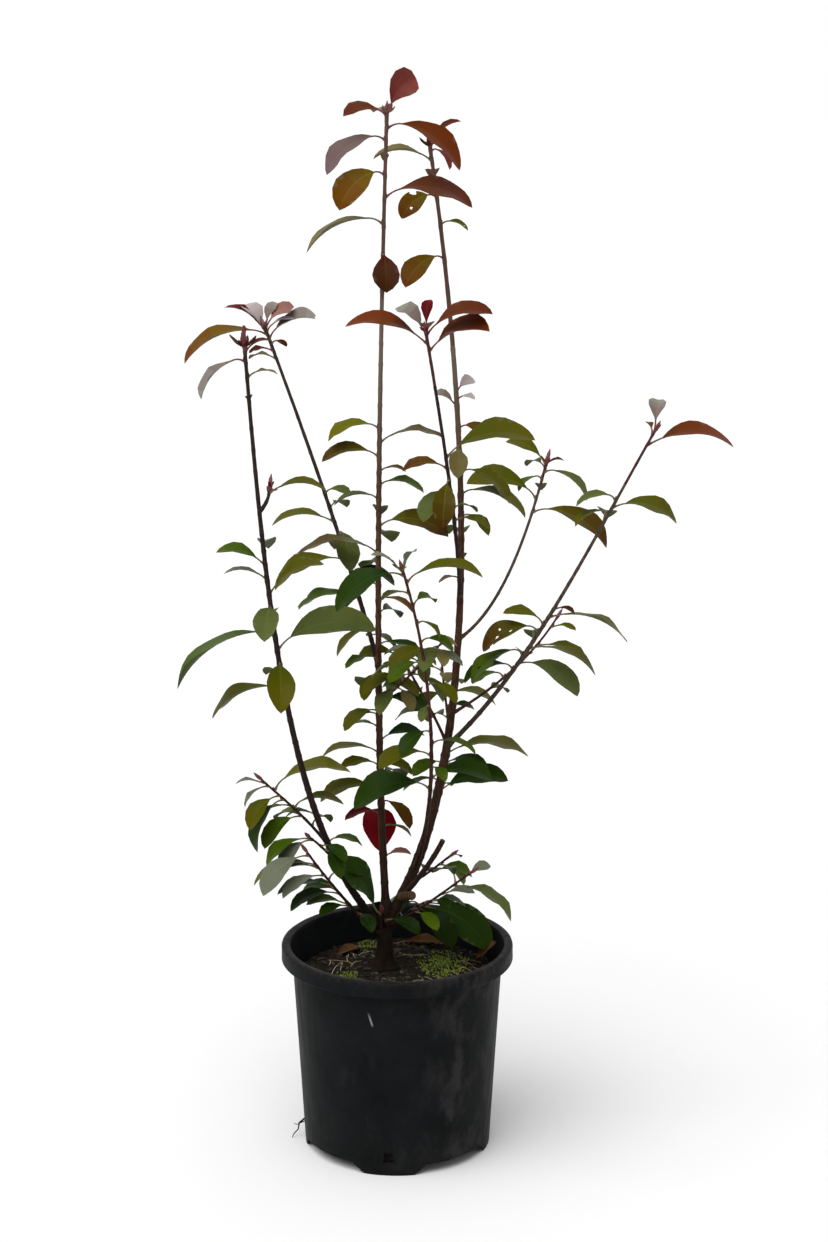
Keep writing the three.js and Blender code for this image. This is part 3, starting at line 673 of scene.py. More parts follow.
def edit(piece):
    only(piece)
    bpy.ops.object.mode_set(mode="EDIT")


def done():
    bpy.ops.object.mode_set(mode="OBJECT")


def face_outwards():
    bpy.ops.mesh.select_all(action="SELECT")
    bpy.ops.mesh.normals_make_consistent(inside=False)


def finish_mesh(piece, smooth):
    edit(piece)
    face_outwards()
    done()
    bpy.ops.object.shade_smooth_by_angle(angle=math.radians(smooth))


def ring_round(centre, along, radius, sides):
    """Points round a centre, square to a direction. The radius is a number or a function of the angle."""
    across = Vector((0, 1, 0)).cross(along).normalized()
    other = along.cross(across).normalized()
    points = []
    for i in range(sides):
        a = math.tau * i / sides
        r = radius(a) if callable(radius) else radius
        points.append(centre + across * (r * math.cos(a)) + other * (r * math.sin(a)))
    return points


# The curves of the plant.
class Curve:
    """A cubic curve from a foot through two handles to a tip."""

    def __init__(self, foot, handles, tip):
        self.corners = [Vector(p) for p in (foot, *handles, tip)]

    def point(self, t):
        a, b, c, d = self.corners
        s = 1 - t
        return a * s**3 + b * (3 * s * s * t) + c * (3 * s * t * t) + d * t**3

    def along(self, t):
        a, b, c, d = self.corners
        s = 1 - t
        return ((b - a) * (s * s) + (c - b) * (2 * s * t) + (d - c) * (t * t)).normalized()

    def length(self):
        stations = [self.point(i / 60) for i in range(61)]
        return sum((q - p).length for p, q in zip(stations, stations[1:]))


def trunk_curve():
    foot, top = Vector(TRUNK["foot"]), Vector(TRUNK["top"])
    third = (top - foot) / 3
    return Curve(foot, (foot + third, top - third), top)


CURVES = {"trunk": trunk_curve()}
for stem_name, stem in STEMS.items():
    parent_curve = CURVES[stem["on"]]
    CURVES[stem_name] = Curve(parent_curve.point(stem["at"]), stem["handles"], stem["tip"])


def stem_radius(stem, t):
    first, last = stem["radii"]
    return first + (last - first) * min(1, t * (TAPER + (1 - TAPER) * t))


def leaf_line(root, along, leaf, random):
    """A leaf's centre line and its fold. The line is a function of the station, which is -1 at the
    stalk's root, 0 at the blade's foot and 1 at its tip: the point, and the ways across and above."""
    bearing, length, lift, tilt = leaf
    turn = math.radians(bearing + LEAF["stray"] * (next(random) - 0.5))
    sway = lift + LEAF["stray"] * (next(random) - 0.5)
    facing = LEAF["face_front"] * math.cos(turn)
    roll = math.radians(tilt + facing + LEAF["stray_roll"] * (next(random) - 0.5))
    fold = math.radians(between(random, *LEAF["fold"]))
    out = Vector((math.cos(turn), math.sin(turn), 0))
    side = Vector((-out.y, out.x, 0))
    stalk = LEAF["stalk_share"] * length + LEAF["stalk_least"]
    slope = math.degrees(math.atan2(along.z, along.dot(out)))
    low, high = LEAF["stalk_rise"]
    start = min(max(slope - LEAF["stalk_lean"], low), high)
    angles = [math.radians(a) for a in (start, LEAF["blade_rise"] + sway, sway - LEAF["blade_fall"])]

    def arc(origin, a0, a1, run, s):
        bend = (a0 - a1) / run or 1e-6
        a = a0 - bend * s
        point = origin + out * ((math.sin(a0) - math.sin(a)) / bend)
        point.z += (math.cos(a) - math.cos(a0)) / bend
        return point, a

    blade_foot = arc(root, angles[0], angles[1], stalk, stalk)[0]

    def line(s):
        if s < 0:
            point, angle = arc(root, angles[0], angles[1], stalk, (1 + s) * stalk)
        else:
            point, angle = arc(blade_foot, angles[1], angles[2], length, s * length)
        up = out * -math.sin(angle)
        up.z = math.cos(angle)
        across = side * math.cos(roll) + up * math.sin(roll)
        above = up * math.cos(roll) - side * math.sin(roll)
        return point, across, above

    return line, fold


BLADE = {
    "half_thick": 0.3,
    "foot_thick": 0.35,  # how much thicker it is at its foot
    "groove": 0.35,  # the depth of the midrib's groove at the foot
    "keel": 0.5,  # how far the midrib stands out below, at the foot
    "flank": 0.7,  # the upper face's height at the shoulder, as a share of the thickness
    "shoulder": 0.58,
    "cup": 1.25,
    "rib_half": 0.8,
    "rib_fade": 1.15,  # past 1, so that the midrib keeps a width at the tip
    "rib_most": 0.4,  # the widest midrib, as a share of the blade there
    "tooth": 0.12,
    "least_half": 0.3,
    "spans": (6, 12),
    "span": 6.5,
    "even": 0.45,  # stations are partly evenly spaced and partly crowded towards the foot and tip
    "crowded": 0.55,
}
# Least and most of what differs from blade to blade.
VARIETY = {
    "wave": (0.04, 0.13), "turns": (1.1, 2.2), "wide": (0.96, 1.14), "broad": (0.92, 1.12),
    "full": (0.9, 1.08),
}
# The strips of a leaf's section: two each side of the midrib above, and two each side below.
TOP_STRIPS, TOP_RIB = 5, 2


class Blade:
    """A leaf blade: folded along its midrib, its halves cupped and waved, its margin finely toothed."""

    def __init__(self, line, length, fold, random, form=COMMON_FORM):
        wider, broadest, deeper = form
        self.line, self.length, self.fold = line, length, fold + math.radians(deeper)
        self.wave = between(random, *VARIETY["wave"])
        self.turns = between(random, *VARIETY["turns"])
        self.phase = [between(random, 0, math.tau) for _ in (0, 1)]
        self.wide = between(random, *VARIETY["wide"]) * wider
        self.broadest = broadest or LEAF["broadest"] * between(random, *VARIETY["broad"])
        self.fullness = LEAF["fullness"] * between(random, *VARIETY["full"])

    def half(self, u):
        """Half the blade's width at a share of its length: elliptic, with a short drawn-out point."""
        body = math.sin(math.pi * u**self.broadest) ** self.fullness if 0 < u < 1 else 0
        least = LEAF["stalk_radius"] * (1 - u)
        return max(0.5 * LEAF["width_share"] * self.length * body * self.wide, least, BLADE["least_half"])

    def rib(self, u):
        """The midrib's half width, as a share of the blade's."""
        half = self.half(u)
        return min(BLADE["rib_half"] * (BLADE["rib_fade"] - u), BLADE["rib_most"] * half) / half

    def at(self, u, v, side, tooth=0):
        """The point at a share u along and v across, on the upper face or on the lower one."""
        point, across, above = self.line(u)
        half, rib, out = self.half(u), self.rib(u), abs(v)
        thick = BLADE["half_thick"] + BLADE["foot_thick"] * (1 - u) ** 2
        shoulder = BLADE["shoulder"]
        if side == "above":
            crest = thick - BLADE["groove"] * (1 - u)
            flank = BLADE["flank"] * thick
            if out <= shoulder:
                rise = crest + (flank - crest) * max(0, out - rib) / (shoulder - rib)
            else:
                rise = flank * (1 - out) / (1 - shoulder)
        else:
            keel = BLADE["keel"] * (1 - u) * max(0, 1 - out / shoulder)
            rise = -(thick + keel) * min(1, (1 - out) / (1 - shoulder))
        ripple = self.wave * half * v * v * math.sin(math.tau * self.turns * u + self.phase[v > 0])
        reach = (out * half + (tooth if out == 1 else 0)) * math.cos(self.fold)
        lift = out**BLADE["cup"] * half * math.sin(self.fold) + ripple + rise
        return point + across * math.copysign(reach, v) + above * lift


def grow_blade(growth, blade):
    least, most = BLADE["spans"]
    spans = min(max(least, round(blade.length / BLADE["span"])), most)
    shoulder = BLADE["shoulder"]
    rings = []
    for k in range(spans):
        # The outline turns fastest near the foot and the tip.
        u = BLADE["even"] * k / spans + BLADE["crowded"] * (0.5 - 0.5 * math.cos(math.pi * k / spans))
        rib = blade.rib(u)
        tooth = BLADE["tooth"] * (1 if k % 2 else -1)
        over = [blade.at(u, v, "above", tooth) for v in (-1, -shoulder, -rib, rib, shoulder, 1)]
        rings.append(over + [blade.at(u, v, "below") for v in (shoulder, 0, -shoulder)])
    rings.append([blade.line(1)[0]])

    def slot_of(k, j):
        if j == TOP_RIB:
            return RIB
        if j >= TOP_STRIPS:
            return UNDER
        return min(BANDS - 1, int(BANDS * (k + 0.5) / spans))

    growth.loft(rings, slot_of)


CHEWED_GRID = (36, 9)  # spans along the blade, and strips each side of its midrib
BLADE_END = 0.995  # where a chewed blade's grid ends, so that it keeps a width
# A bite's ragged edge is two waves round it: their depth, how many, and a turn from the bite's place.
COARSE_WAVE, FINE_WAVE = (0.16, 3, 9), (0.1, 7, 5)


def grow_chewed_blade(growth, blade, bites):
    """A blade like the others, in a fine grid, without what something has eaten."""
    spans, strips = CHEWED_GRID
    columns = range(2 * strips + 2)

    def ragged(bite, x, y):
        along, across, radius = bite
        dx, dy = x - along * blade.length, y - across * blade.half(min(along, 0.97))
        turn = math.atan2(dy, dx)
        reach = 1
        for (depth, waves, shift), place in ((COARSE_WAVE, along), (FINE_WAVE, across)):
            reach += depth * math.sin(waves * turn + shift * place)
        return dx, dy, math.hypot(dx, dy), radius * reach

    flat = {}
    for k in range(spans + 1):
        u = BLADE_END * k / spans
        rib = blade.rib(u)
        for j in columns:
            step = j - strips - 0.5
            v = math.copysign(rib + (1 - rib) * (abs(step) - 0.5) / strips, step)
            flat[k, j] = (u * blade.length, v * blade.half(u))

    def eaten(k, j):
        corners = [flat[k + a, j + b] for a in (0, 1) for b in (0, 1)]
        x, y = (sum(c[i] for c in corners) / 4 for i in (0, 1))
        return any(run < reach for _, _, run, reach in (ragged(b, x, y) for b in bites))

    kept = {(k, j) for k in range(spans) for j in columns[:-1] if not eaten(k, j)}
    above, below = {}, {}
    for k, j in sorted({(k + a, j + b) for k, j in kept for a in (0, 1) for b in (0, 1)}):
        x, y = flat[k, j]
        for bite in bites:
            dx, dy, run, reach = ragged(bite, x, y)
            if 0 < run < reach:
                x, y = x + dx * (reach / run - 1), y + dy * (reach / run - 1)
        u = min(max(x / blade.length, 0), BLADE_END)
        v = min(max(y / blade.half(u), -1), 1)
        above[k, j] = growth.ring([blade.at(u, v, "above")])[0]
        margin = j in (columns[0], columns[-1])
        below[k, j] = above[k, j] if margin else growth.ring([blade.at(u, v, "below")])[0]

    def wall(first, second):
        corners = list(dict.fromkeys([above[first], above[second], below[second], below[first]]))
        if len(corners) > 2:
            growth.face(corners, UNDER)

    for k, j in sorted(kept):
        rib = j == strips
        corners = [(k, j), (k + 1, j), (k + 1, j + 1), (k, j + 1)]
        growth.face([above[c] for c in corners], RIB if rib else int(BANDS * k / spans))
        growth.face([below[c] for c in reversed(corners)], UNDER)
        beside = [(k, j - 1), (k + 1, j), (k, j + 1), (k - 1, j)]
        for place, first, second in zip(beside, corners, corners[1:] + corners[:1]):
            if place not in kept:
                wall(second, first)


# A stalk's stations and its radius at each.
STALK_SIDES = 6
STALK = [(-1, 1.5), (-0.82, 1.55), (-0.62, 1.1), (-0.4, 0.95), (-0.18, 0.9), (0.02, 0.95)]


def grow_stalk(growth, line):
    """The leaf's stalk, out of the middle of its stem, swollen where it leaves it."""
    rings = []
    for s, r in STALK:
        ahead = line(min(s + 0.02, 0.04))[0] - line(max(s - 0.02, -1))[0]
        rings.append(ring_round(line(s)[0], ahead.normalized(), r, STALK_SIDES))
    growth.loft(rings)


# A bud's rings: the place along it and the radius, as shares. Each row of scales steps out and in again.
BUD_RINGS = [
    (-0.25, 0.6), (0, 0.75), (0.16, 1), (0.2, 0.86), (0.4, 0.98), (0.44, 0.8), (0.66, 0.74), (0.7, 0.56),
    (0.88, 0.3),
]
BUD_SIDES = 9
SCALES = {"row": 3, "depth": 0.12, "twist": 1.2}


def grow_bud(growth, foot, along, length, radius):
    """A pointed bud in overlapping scales, three to a row."""
    rings = []
    for share, r in BUD_RINGS:
        twist = SCALES["twist"] * share

        def lobed(a, r=r, twist=twist):
            return radius * r * (1 + SCALES["depth"] * math.cos(SCALES["row"] * (a + twist)))

        rings.append(ring_round(foot + along * (share * length), along, lobed, BUD_SIDES))
    rings.append([foot + along * length])
    growth.loft(rings)


# The pieces that the plant is joined into.
blades = {tint: Growth() for tint in TINTS}
stalks = {"red": Growth(), "green": Growth()}
stems = Growth()
buds = Growth()


def leaf_places(number, run):
    """Where each leaf of a leafy stretch stands, with the random numbers that shape it."""
    (t0, t1), _, *leaves = run
    for i, leaf in enumerate(leaves):
        share = (i + FIRST_LEAF) / (len(leaves) + FIRST_LEAF - 0.5)
        crowded = 1 - (1 - share) ** CROWDING
        if t0 == 0:
            t = BARE_FOOT + (1 - BARE_FOOT) * share
        else:
            t = t0 + (t1 - t0) * (crowded if t1 == 1 else share)
        yield i, t, (*leaf, 0, 0)[:4], seeded(1000 * number + math.floor(1000 * t0 + 0.5) + 17 * i)


# The small bud in each leaf's axil: how far up the stem and off its surface it sits, and its size.
AXIL_BUD = {"up": 2.2, "off": 0.2, "length": 3.2, "radius": 1}


def grow_leaf(name, t, leaf, tint, random, form=COMMON_FORM, bites=()):
    """One leaf: its blade, whole or eaten, and its stalk. Gives back its centre line."""
    curve = CURVES[name]
    line, fold = leaf_line(curve.point(t), curve.along(t), leaf, random)
    blade = Blade(line, leaf[1], fold, random, form)
    if bites:
        grow_chewed_blade(blades[tint], blade, bites)
    else:
        grow_blade(blades[tint], blade)
    grow_stalk(stalks["red" if tint in BRONZE_TINTS else "green"], line)
    return line


def grow_leaves(name, number, label, run):
    """The leaves of one leafy stretch, each with the bud in its axil."""
    tints = run[1].split()
    for i, t, leaf, random in leaf_places(number, run):
        form, bites = FORMS.get((label, i), COMMON_FORM), CHEWED.get((label, i), ())
        line = grow_leaf(name, t, leaf, tints[i], random, form, bites)
        root, along = CURVES[name].point(t), CURVES[name].along(t)
        out = (line(-0.7)[0] - root).normalized()
        off = stem_radius(STEMS[name], t) + AXIL_BUD["off"]
        ahead = (along + out * 0.5).normalized()
        foot = root + along * AXIL_BUD["up"] + out * off
        grow_bud(buds, foot, ahead, AXIL_BUD["length"], AXIL_BUD["radius"])


def grow_flush(name, count, length, tints, random):
    """Young leaflets that stand round the bud at a tip, still half folded."""
    tip, along = CURVES[name].point(1), CURVES[name].along(1)
    first = between(random, 0, math.tau)
    for i in range(count):
        turn = first + FLUSH_SPREAD["turn"] * i
        lean = between(random, *FLUSH_SPREAD["lean"])
        size = length * between(random, *FLUSH_SPREAD["size"])
        out = Vector((math.cos(turn), math.sin(turn), 0))
        course = (along + out * lean).normalized()
        side = course.cross(Vector((-out.y, out.x, 0))).cross(course).normalized()

        def line(s, course=course, side=side, size=size, out=out):
            bend = FLUSH_SPREAD["bend"] * size * s * s
            point = tip + course * (size * max(s, -0.2)) + out * bend
            return point, side, side.cross(course)

        fold = math.radians(between(random, *FLUSH_SPREAD["fold"]))
        grow_blade(blades[tints[i % len(tints)]], Blade(line, size, fold, random, FLUSH_FORM))


STEM_STEP = 3.5
STEM_SIDES = 12
OLD_BARK, BROWN_BARK, SHOOT_BARK, CUT_WOOD, SHADED_BARK, GREY_BARK = range(6)
# These stems keep one bark, a copy darkened with painted shade or a grey one, up to this share of their
# length, and are red shoots past it.
ONE_BARK = {
    "left": (SHADED_BARK, 1), "inner_left": (SHADED_BARK, 1), "left_spur": (SHADED_BARK, 1),
    "inner_right": (SHADED_BARK, 0.8), "back_right": (GREY_BARK, 0.9), "far_right": (GREY_BARK, 0.85),
}
# The others: old bark on stems thicker than this at the foot, and brown bark on the rest, up to a share
# of their length.
THICK, OLD_UP_TO, BROWN_UP_TO = 4, 0.8, 0.45
# How the bark swells, as a share of the radius, and over how many millimetres: at the foot, at each
# leaf's node, and at scars between the leafy stretches, which are this far apart.
FOOT_SWELL, NODE_SWELL, SCAR_SWELL = (0.45, 6), (0.2, 2.6), (0.13, 1.8)
FOOT_HOLD = 4  # how many millimetres the foot's swelling holds before it dies away
SCAR_GAP, SCAR_ENDS = (14, 30), (0.04, 0.97)
BARK_RELIEF = {"along": 0.09, "round": 1.3, "depth": 0.07}
# The rounded edge of a sawn end: how far past it each ring is, and its share of the radius.
SAWN_EDGE = [(0.3, 0.9), (0.1, 0.5)]


def grow_stem(name, number):
    """A stem's bark along its whole curve, thickened at its foot and at each leaf's node."""
    stem, curve = STEMS[name], CURVES[name]
    length = curve.length()
    nodes = [t for run in stem["leafy"].values() for _, t, *_ in leaf_places(number, run)]
    random = seeded(SEEDS["bark"] + number)
    t, scars_end = SCAR_ENDS
    scars = []
    while t < scars_end:
        if not any(run[0][0] <= t <= run[0][1] for run in stem["leafy"].values()):
            scars.append(t)
        t += between(random, *SCAR_GAP) / length
    count = math.ceil(length / STEM_STEP)
    rings = []
    for k in range(count + 1):
        t = k / count
        centre, along = curve.point(t), curve.along(t)
        radius = stem_radius(stem, t)
        run = t * length
        swell = FOOT_SWELL[0] * math.exp(-max(0, run - FOOT_HOLD) / FOOT_SWELL[1])
        for places, (most, reach) in ((nodes, NODE_SWELL), (scars, SCAR_SWELL)):
            swell += sum(most * math.exp(-(((t - n) * length) / reach) ** 2) for n in places)

        def relief(a, centre=centre, radius=radius, swell=swell):
            at = centre * BARK_RELIEF["along"]
            at += Vector((math.cos(a), math.sin(a), 0)) * BARK_RELIEF["round"]
            return radius * (1 + swell + BARK_RELIEF["depth"] * noise.noise(at))

        rings.append(ring_round(centre, along, relief, STEM_SIDES))
    end, ahead = curve.point(1), curve.along(1)
    thick, thin = stem["radii"]
    if name == "cut_stub":
        for past, share in SAWN_EDGE:
            rings.append(ring_round(end + ahead * past, ahead, thin * share, STEM_SIDES))

    def bark_of(k, j):
        t = k / count
        if name == "cut_stub":
            return CUT_WOOD if k > count else BROWN_BARK
        if name in ONE_BARK and t <= ONE_BARK[name][1]:
            return ONE_BARK[name][0]
        if thick > THICK:
            return OLD_BARK if t < OLD_UP_TO else BROWN_BARK
        return BROWN_BARK if t < BROWN_UP_TO else SHOOT_BARK

    stems.loft(rings, bark_of)
    if stem["leafy"]:
        size = BUD["size"] + BUD["size_per_radius"] * thin
        long = LARGE_BUDS.get(name, BUD["length"] * size)
        grow_bud(buds, end, ahead, long, BUD["radius"] * (0.5 * size + 0.5 * long / BUD["length"]))


# A thick old stub low on the right leader, cut off square: its ends, and its rings' places and radii.
OLD_STUB = {"foot": (4, 2, 297), "end": (18, -14, 304)}
STUB_RINGS = [
    (0, 5.2), (0.3, 5.0), (0.42, 5.5), (0.5, 4.9), (0.64, 5.4), (0.72, 4.9), (0.86, 5.3), (0.97, 5.1),
    (1, 4.7), (1, 2),
]


def grow_old_stub(growth):
    """The old stub, ringed where its bark has cracked down to the wood."""
    foot, end = Vector(OLD_STUB["foot"]), Vector(OLD_STUB["end"])
    along = (end - foot).normalized()
    rings = [ring_round(foot.lerp(end, s), along, r, STEM_SIDES) for s, r in STUB_RINGS]
    sawn = len(rings) - 2
    growth.loft(rings, lambda k, j: BROWN_BARK if k < sawn and k % 2 else CUT_WOOD)


for stem_number, (stem_name, stem) in enumerate(STEMS.items(), 1):
    grow_stem(stem_name, stem_number)
    for kind, leafy_run in stem["leafy"].items():
        grow_leaves(stem_name, stem_number, f"{stem_name}_{kind}", leafy_run)
small_leaves = [(stem_name, leaf) for stem_name, leaves in SMALL for leaf in leaves]
for number, (stem_name, (place, *leaf, tint)) in enumerate(small_leaves):
    grow_leaf(stem_name, place, leaf, tint, seeded(SEEDS["small"] + number))
grow_old_stub(stems)
for number, (stem_name, flush) in enumerate(FLUSH.items()):
    grow_flush(stem_name, *flush, seeded(SEEDS["flush"] + number))


# Modelling by hand in edit mode.
def turned(name, sides, profile):
    """A closed turned body: a disc on the axis drawn out through (radius, height) in millimetres."""
    bpy.ops.object.select_all(action="DESELECT")
    radius, height = profile[0]
    bpy.ops.mesh.primitive_circle_add(
        vertices=sides, radius=radius * MM, fill_type="NGON", location=(0, 0, height * MM)
    )
    piece = bpy.context.active_object
    piece.name = name
    bpy.ops.object.transform_apply(location=True, rotation=True, scale=True)
    edit(piece)
    bpy.ops.mesh.select_all(action="SELECT")
    for next_radius, next_height in profile[1:]:
        rise = (0, 0, (next_height - height) * MM)
        bpy.ops.mesh.extrude_region_move(TRANSFORM_OT_translate={"value": rise})
        share = next_radius / radius
        bpy.ops.transform.resize(value=(share, share, 1), center_override=(0, 0, next_height * MM))
        radius, height = next_radius, next_height
    face_outwards()
    done()
    return piece


def apply_modifier(piece, kind, **settings):
    only(piece)
    modifier = piece.modifiers.new(kind.lower(), kind)
    for key, value in settings.items():
        setattr(modifier, key, value)
    bpy.ops.object.modifier_apply(modifier=modifier.name)


def wedge(low, high, bottom_half, top_half, near, far, bearing):
    """A cutter: a block from a near to a far radius at a bearing, narrower at its top."""
    bpy.ops.object.select_all(action="DESELECT")
    bpy.ops.mesh.primitive_cube_add(size=1, location=((near + far) / 2 * MM, 0, (low + high) / 2 * MM))
    cutter = bpy.context.active_object
    cutter.scale = ((far - near) * MM, 2 * bottom_half * MM, (high - low) * MM)
    bpy.ops.object.transform_apply(location=True, rotation=True, scale=True)
    edit(cutter)
    mesh = bmesh.from_edit_mesh(cutter.data)
    for face in mesh.faces:
        face.select_set(face.normal.z > 0.9)
    bmesh.update_edit_mesh(cutter.data)
    share = top_half / bottom_half
    bpy.ops.transform.resize(value=(1, share, 1), center_override=(0, 0, high * MM))
    done()
    cutter.data.transform(Matrix.Rotation(math.radians(bearing), 4, "Z"))
    return cutter


POT = {
    "height": 243, "rim": 133, "rim_depth": 18, "mouth": 122, "neck": 120.5, "foot": 107, "wall": 1.9,
    "floor": 2.5, "pan": 76, "channel": 12, "first_foot": 85, "feet": 4,
    # Notches between the feet and drain slots: half widths at the bottom and top, and the inner end.
    "notch": (54, 40, 82), "slot": (6.5, 4.6, 95), "slot_heights": (16.5, 28.5), "cut_reach": 120,
    "sides": 128, "rounding": 0.5,
}


def around(radius, height, *steps):
    """Points of a profile, each given as its step from one radius and height."""
    return [(radius + out, height + up) for out, up in steps]


def model_pot():
    foot, pan, channel, floor, wall = (POT[k] for k in ("foot", "pan", "channel", "floor", "wall"))
    rim, mouth, neck, top = (POT[k] for k in ("rim", "mouth", "neck", "height"))
    skirt = top - POT["rim_depth"]
    profile = [
        *around(pan, 0, (-2, 0), (0, 0.8)),
        *around(pan, channel, (0.5, -1), (2, 0)),
        *around(foot, channel, (-4, 0), (-2.2, -1.4)),
        *around(foot, 0, (-2.2, 0.6), (-1.6, 0), (-0.6, 0), (0.05, 0.8), (0.9, 14), (4.5, 75), (9, 150)),
        *around(neck, skirt, (-0.4, -7), (0, 0), (0.6, 3)),
        *around(mouth + wall, skirt, (0, 7)),
        *around(mouth + wall, top, (0, -4), (1.4, -2.4)),
        *around(rim, top, (-4, -2.4), (-2.2, -4)),
        *around(rim, skirt, (-2.2, 0.6), (-1.7, 0), (-0.5, 0), (0, 0.7)),
        *around(rim, top, (-0.2, -8), (-0.1, -3.2), (-0.7, -1.2), (-2.2, -0.1), (-4.5, 0)),
        *around(mouth, top, (3.5, -0.2), (1.2, -1), (0, -3)),
        (mouth, skirt + 8), (neck - wall, skirt + 2), (foot - 1.6, channel + floor),
        (pan - floor, channel + floor), (pan - floor - 0.5, floor),
    ]
    pot = turned("pot_shell", POT["sides"], profile)
    cutters = []
    pitch = 360 / POT["feet"]
    for i in range(POT["feet"]):
        bearing = POT["first_foot"] + pitch * i
        for heights, sizes, at in (
            ((-1, channel), POT["notch"], bearing + pitch / 2), (POT["slot_heights"], POT["slot"], bearing),
        ):
            cutters.append(wedge(*heights, *sizes, POT["cut_reach"], at))
    only(*cutters)
    bpy.ops.object.join()
    cutter = bpy.context.active_object
    apply_modifier(pot, "BOOLEAN", object=cutter, operation="DIFFERENCE", solver="EXACT")
    bpy.data.objects.remove(cutter)
    rounding = {"width": POT["rounding"] * MM, "segments": 2, "angle_limit": math.radians(55)}
    apply_modifier(pot, "BEVEL", limit_method="ANGLE", **rounding)
    only(pot)
    bpy.ops.object.shade_smooth_by_angle(angle=math.radians(35))
    pot.data.materials.append(moulded_polypropylene())
    return pot


# The potting mix: flat out to its crown, lower at a shoulder, and lower still at its full reach. Its
# side stands at the wall's radius and goes up to the edge, where the surface begins.
SOIL = {
    "top": 210, "crown": 46, "shoulder": 80, "shoulder_drop": 2, "reach": 118, "reach_drop": 6,
    "foot": [(70, 3), (73, 14.8), (103.5, 15)], "wall": 116.5, "edge": 200, "ring_step": 2.2, "sides": 120,
}


def soil_height(x, y):
    """The potting mix's surface, in millimetres: heaped a little round the stool, lower at the wall."""
    run = math.hypot(x, y)
    crown, shoulder, reach = SOIL["crown"], SOIL["shoulder"], SOIL["reach"]
    base = SOIL["top"]
    if run >= shoulder:
        base -= SOIL["shoulder_drop"]
        base -= SOIL["reach_drop"] * (run - shoulder) / (reach - shoulder)
    elif run >= crown:
        base -= SOIL["shoulder_drop"] * (run - crown) / (shoulder - crown)
    lumps = 2.6 * noise.fractal(Vector((x, y, 3)) / 22, 0.8, 2.1, 4)
    crumbs = 0.9 * noise.fractal(Vector((x, y, 9)) / 4.5, 0.7, 2.2, 3)
    return base + lumps + crumbs


def model_soil():
    """Potting mix that fills the pot, its surface shaped in fine rings."""
    wall, step = SOIL["wall"], SOIL["ring_step"]
    profile = [*SOIL["foot"], (wall, SOIL["edge"])]
    for i in range(1, int(wall / step)):
        profile.append((wall - i * step, SOIL["top"] - SOIL["shoulder_drop"]))
    soil = turned("potting_mix", SOIL["sides"], profile)
    for vertex in soil.data.vertices:
        if vertex.co.z > SOIL["edge"] * MM:
            vertex.co.z = soil_height(vertex.co.x / MM, vertex.co.y / MM) * MM
    finish_mesh(soil, 80)
    soil.data.materials.append(composted_bark_mix())
    return soil


STOOL_LEVELS, STOOL_SIDES = 26, 36
# The rings of its domed top: the height above the last level, and the share of its width.
STOOL_DOME = [(2.2, 0.86), (3.6, 0.6), (4.4, 0.3)]
STOOL_CROWN = 4.7
STOOL_BARK = (0x1A120C, 0x30241A, 0x52443A, 0x52443A, 0.82)


def model_stool():
    """The stool from which the stems rise: root lobes at the soil, bark relief, and a domed top."""
    foot, top = Vector(TRUNK["foot"]), Vector(TRUNK["top"])
    height = top.z - foot.z
    growth = Growth()
    rings = []
    for k in range(STOOL_LEVELS + 1):
        t = k / STOOL_LEVELS
        spread = TRUNK["flare"] * math.exp(-t * height / TRUNK["flare_fall"])

        def radius(a, t=t, spread=spread):
            lobe = TRUNK["lobe_depth"] * math.cos(TRUNK["lobes"] * a + TRUNK["lobe_turn"])
            lobes = 1 + spread * (TRUNK["lobe_rest"] + lobe)
            knots = 0.1 * noise.noise(Vector((math.cos(a) * 1.6, math.sin(a) * 1.6, t * 5)))
            furrows = 0.035 * noise.noise(Vector((math.cos(a) * 6, math.sin(a) * 6, t * 4)))
            return TRUNK["radius"] * (1 - TRUNK["taper"] * t) * lobes * (1 + knots + furrows)

        rings.append(ring_round(foot.lerp(top, t), Vector((0, 0, 1)), radius, STOOL_SIDES))
    for rise, share in STOOL_DOME:
        rings.append([top + Vector((0, 0, rise)) + (p - top) * share for p in rings[STOOL_LEVELS]])
    rings.append([top + Vector((0, 0, STOOL_CROWN))])
    growth.loft(rings)
    return growth.piece("stool", [photinia_bark("old_photinia_bark_stool", *STOOL_BARK)])


def from_stool(x, y):
    """How far a place on the mix is from the stool's axis."""
    return math.hypot(x - TRUNK["foot"][0], y - TRUNK["foot"][1])


def scatter_on_soil(random, inner=14, outer=114):
    """A random place on the mix, clear of the stool and the wall."""
    while True:
        run = outer * math.sqrt(next(random))
        turn = math.tau * next(random)
        x, y = run * math.cos(turn), run * math.sin(turn)
        if from_stool(x, y) > inner:
            return x, y


# Bark chips: length in millimetres, width and thickness as shares of it, the rings' heights and sizes,
# and how uneven their outline is. A few are larger.
CHIP = {"long": (2.2, 9), "wide": (0.35, 0.75), "thick": (0.1, 0.28), "uneven": (0.75, 1.1), "sides": 6}
CHIP_RINGS = [(-0.5, 0.72), (0, 1), (0.5, 0.7)]
LARGER, LARGER_SHARE = 1.6, 0.15


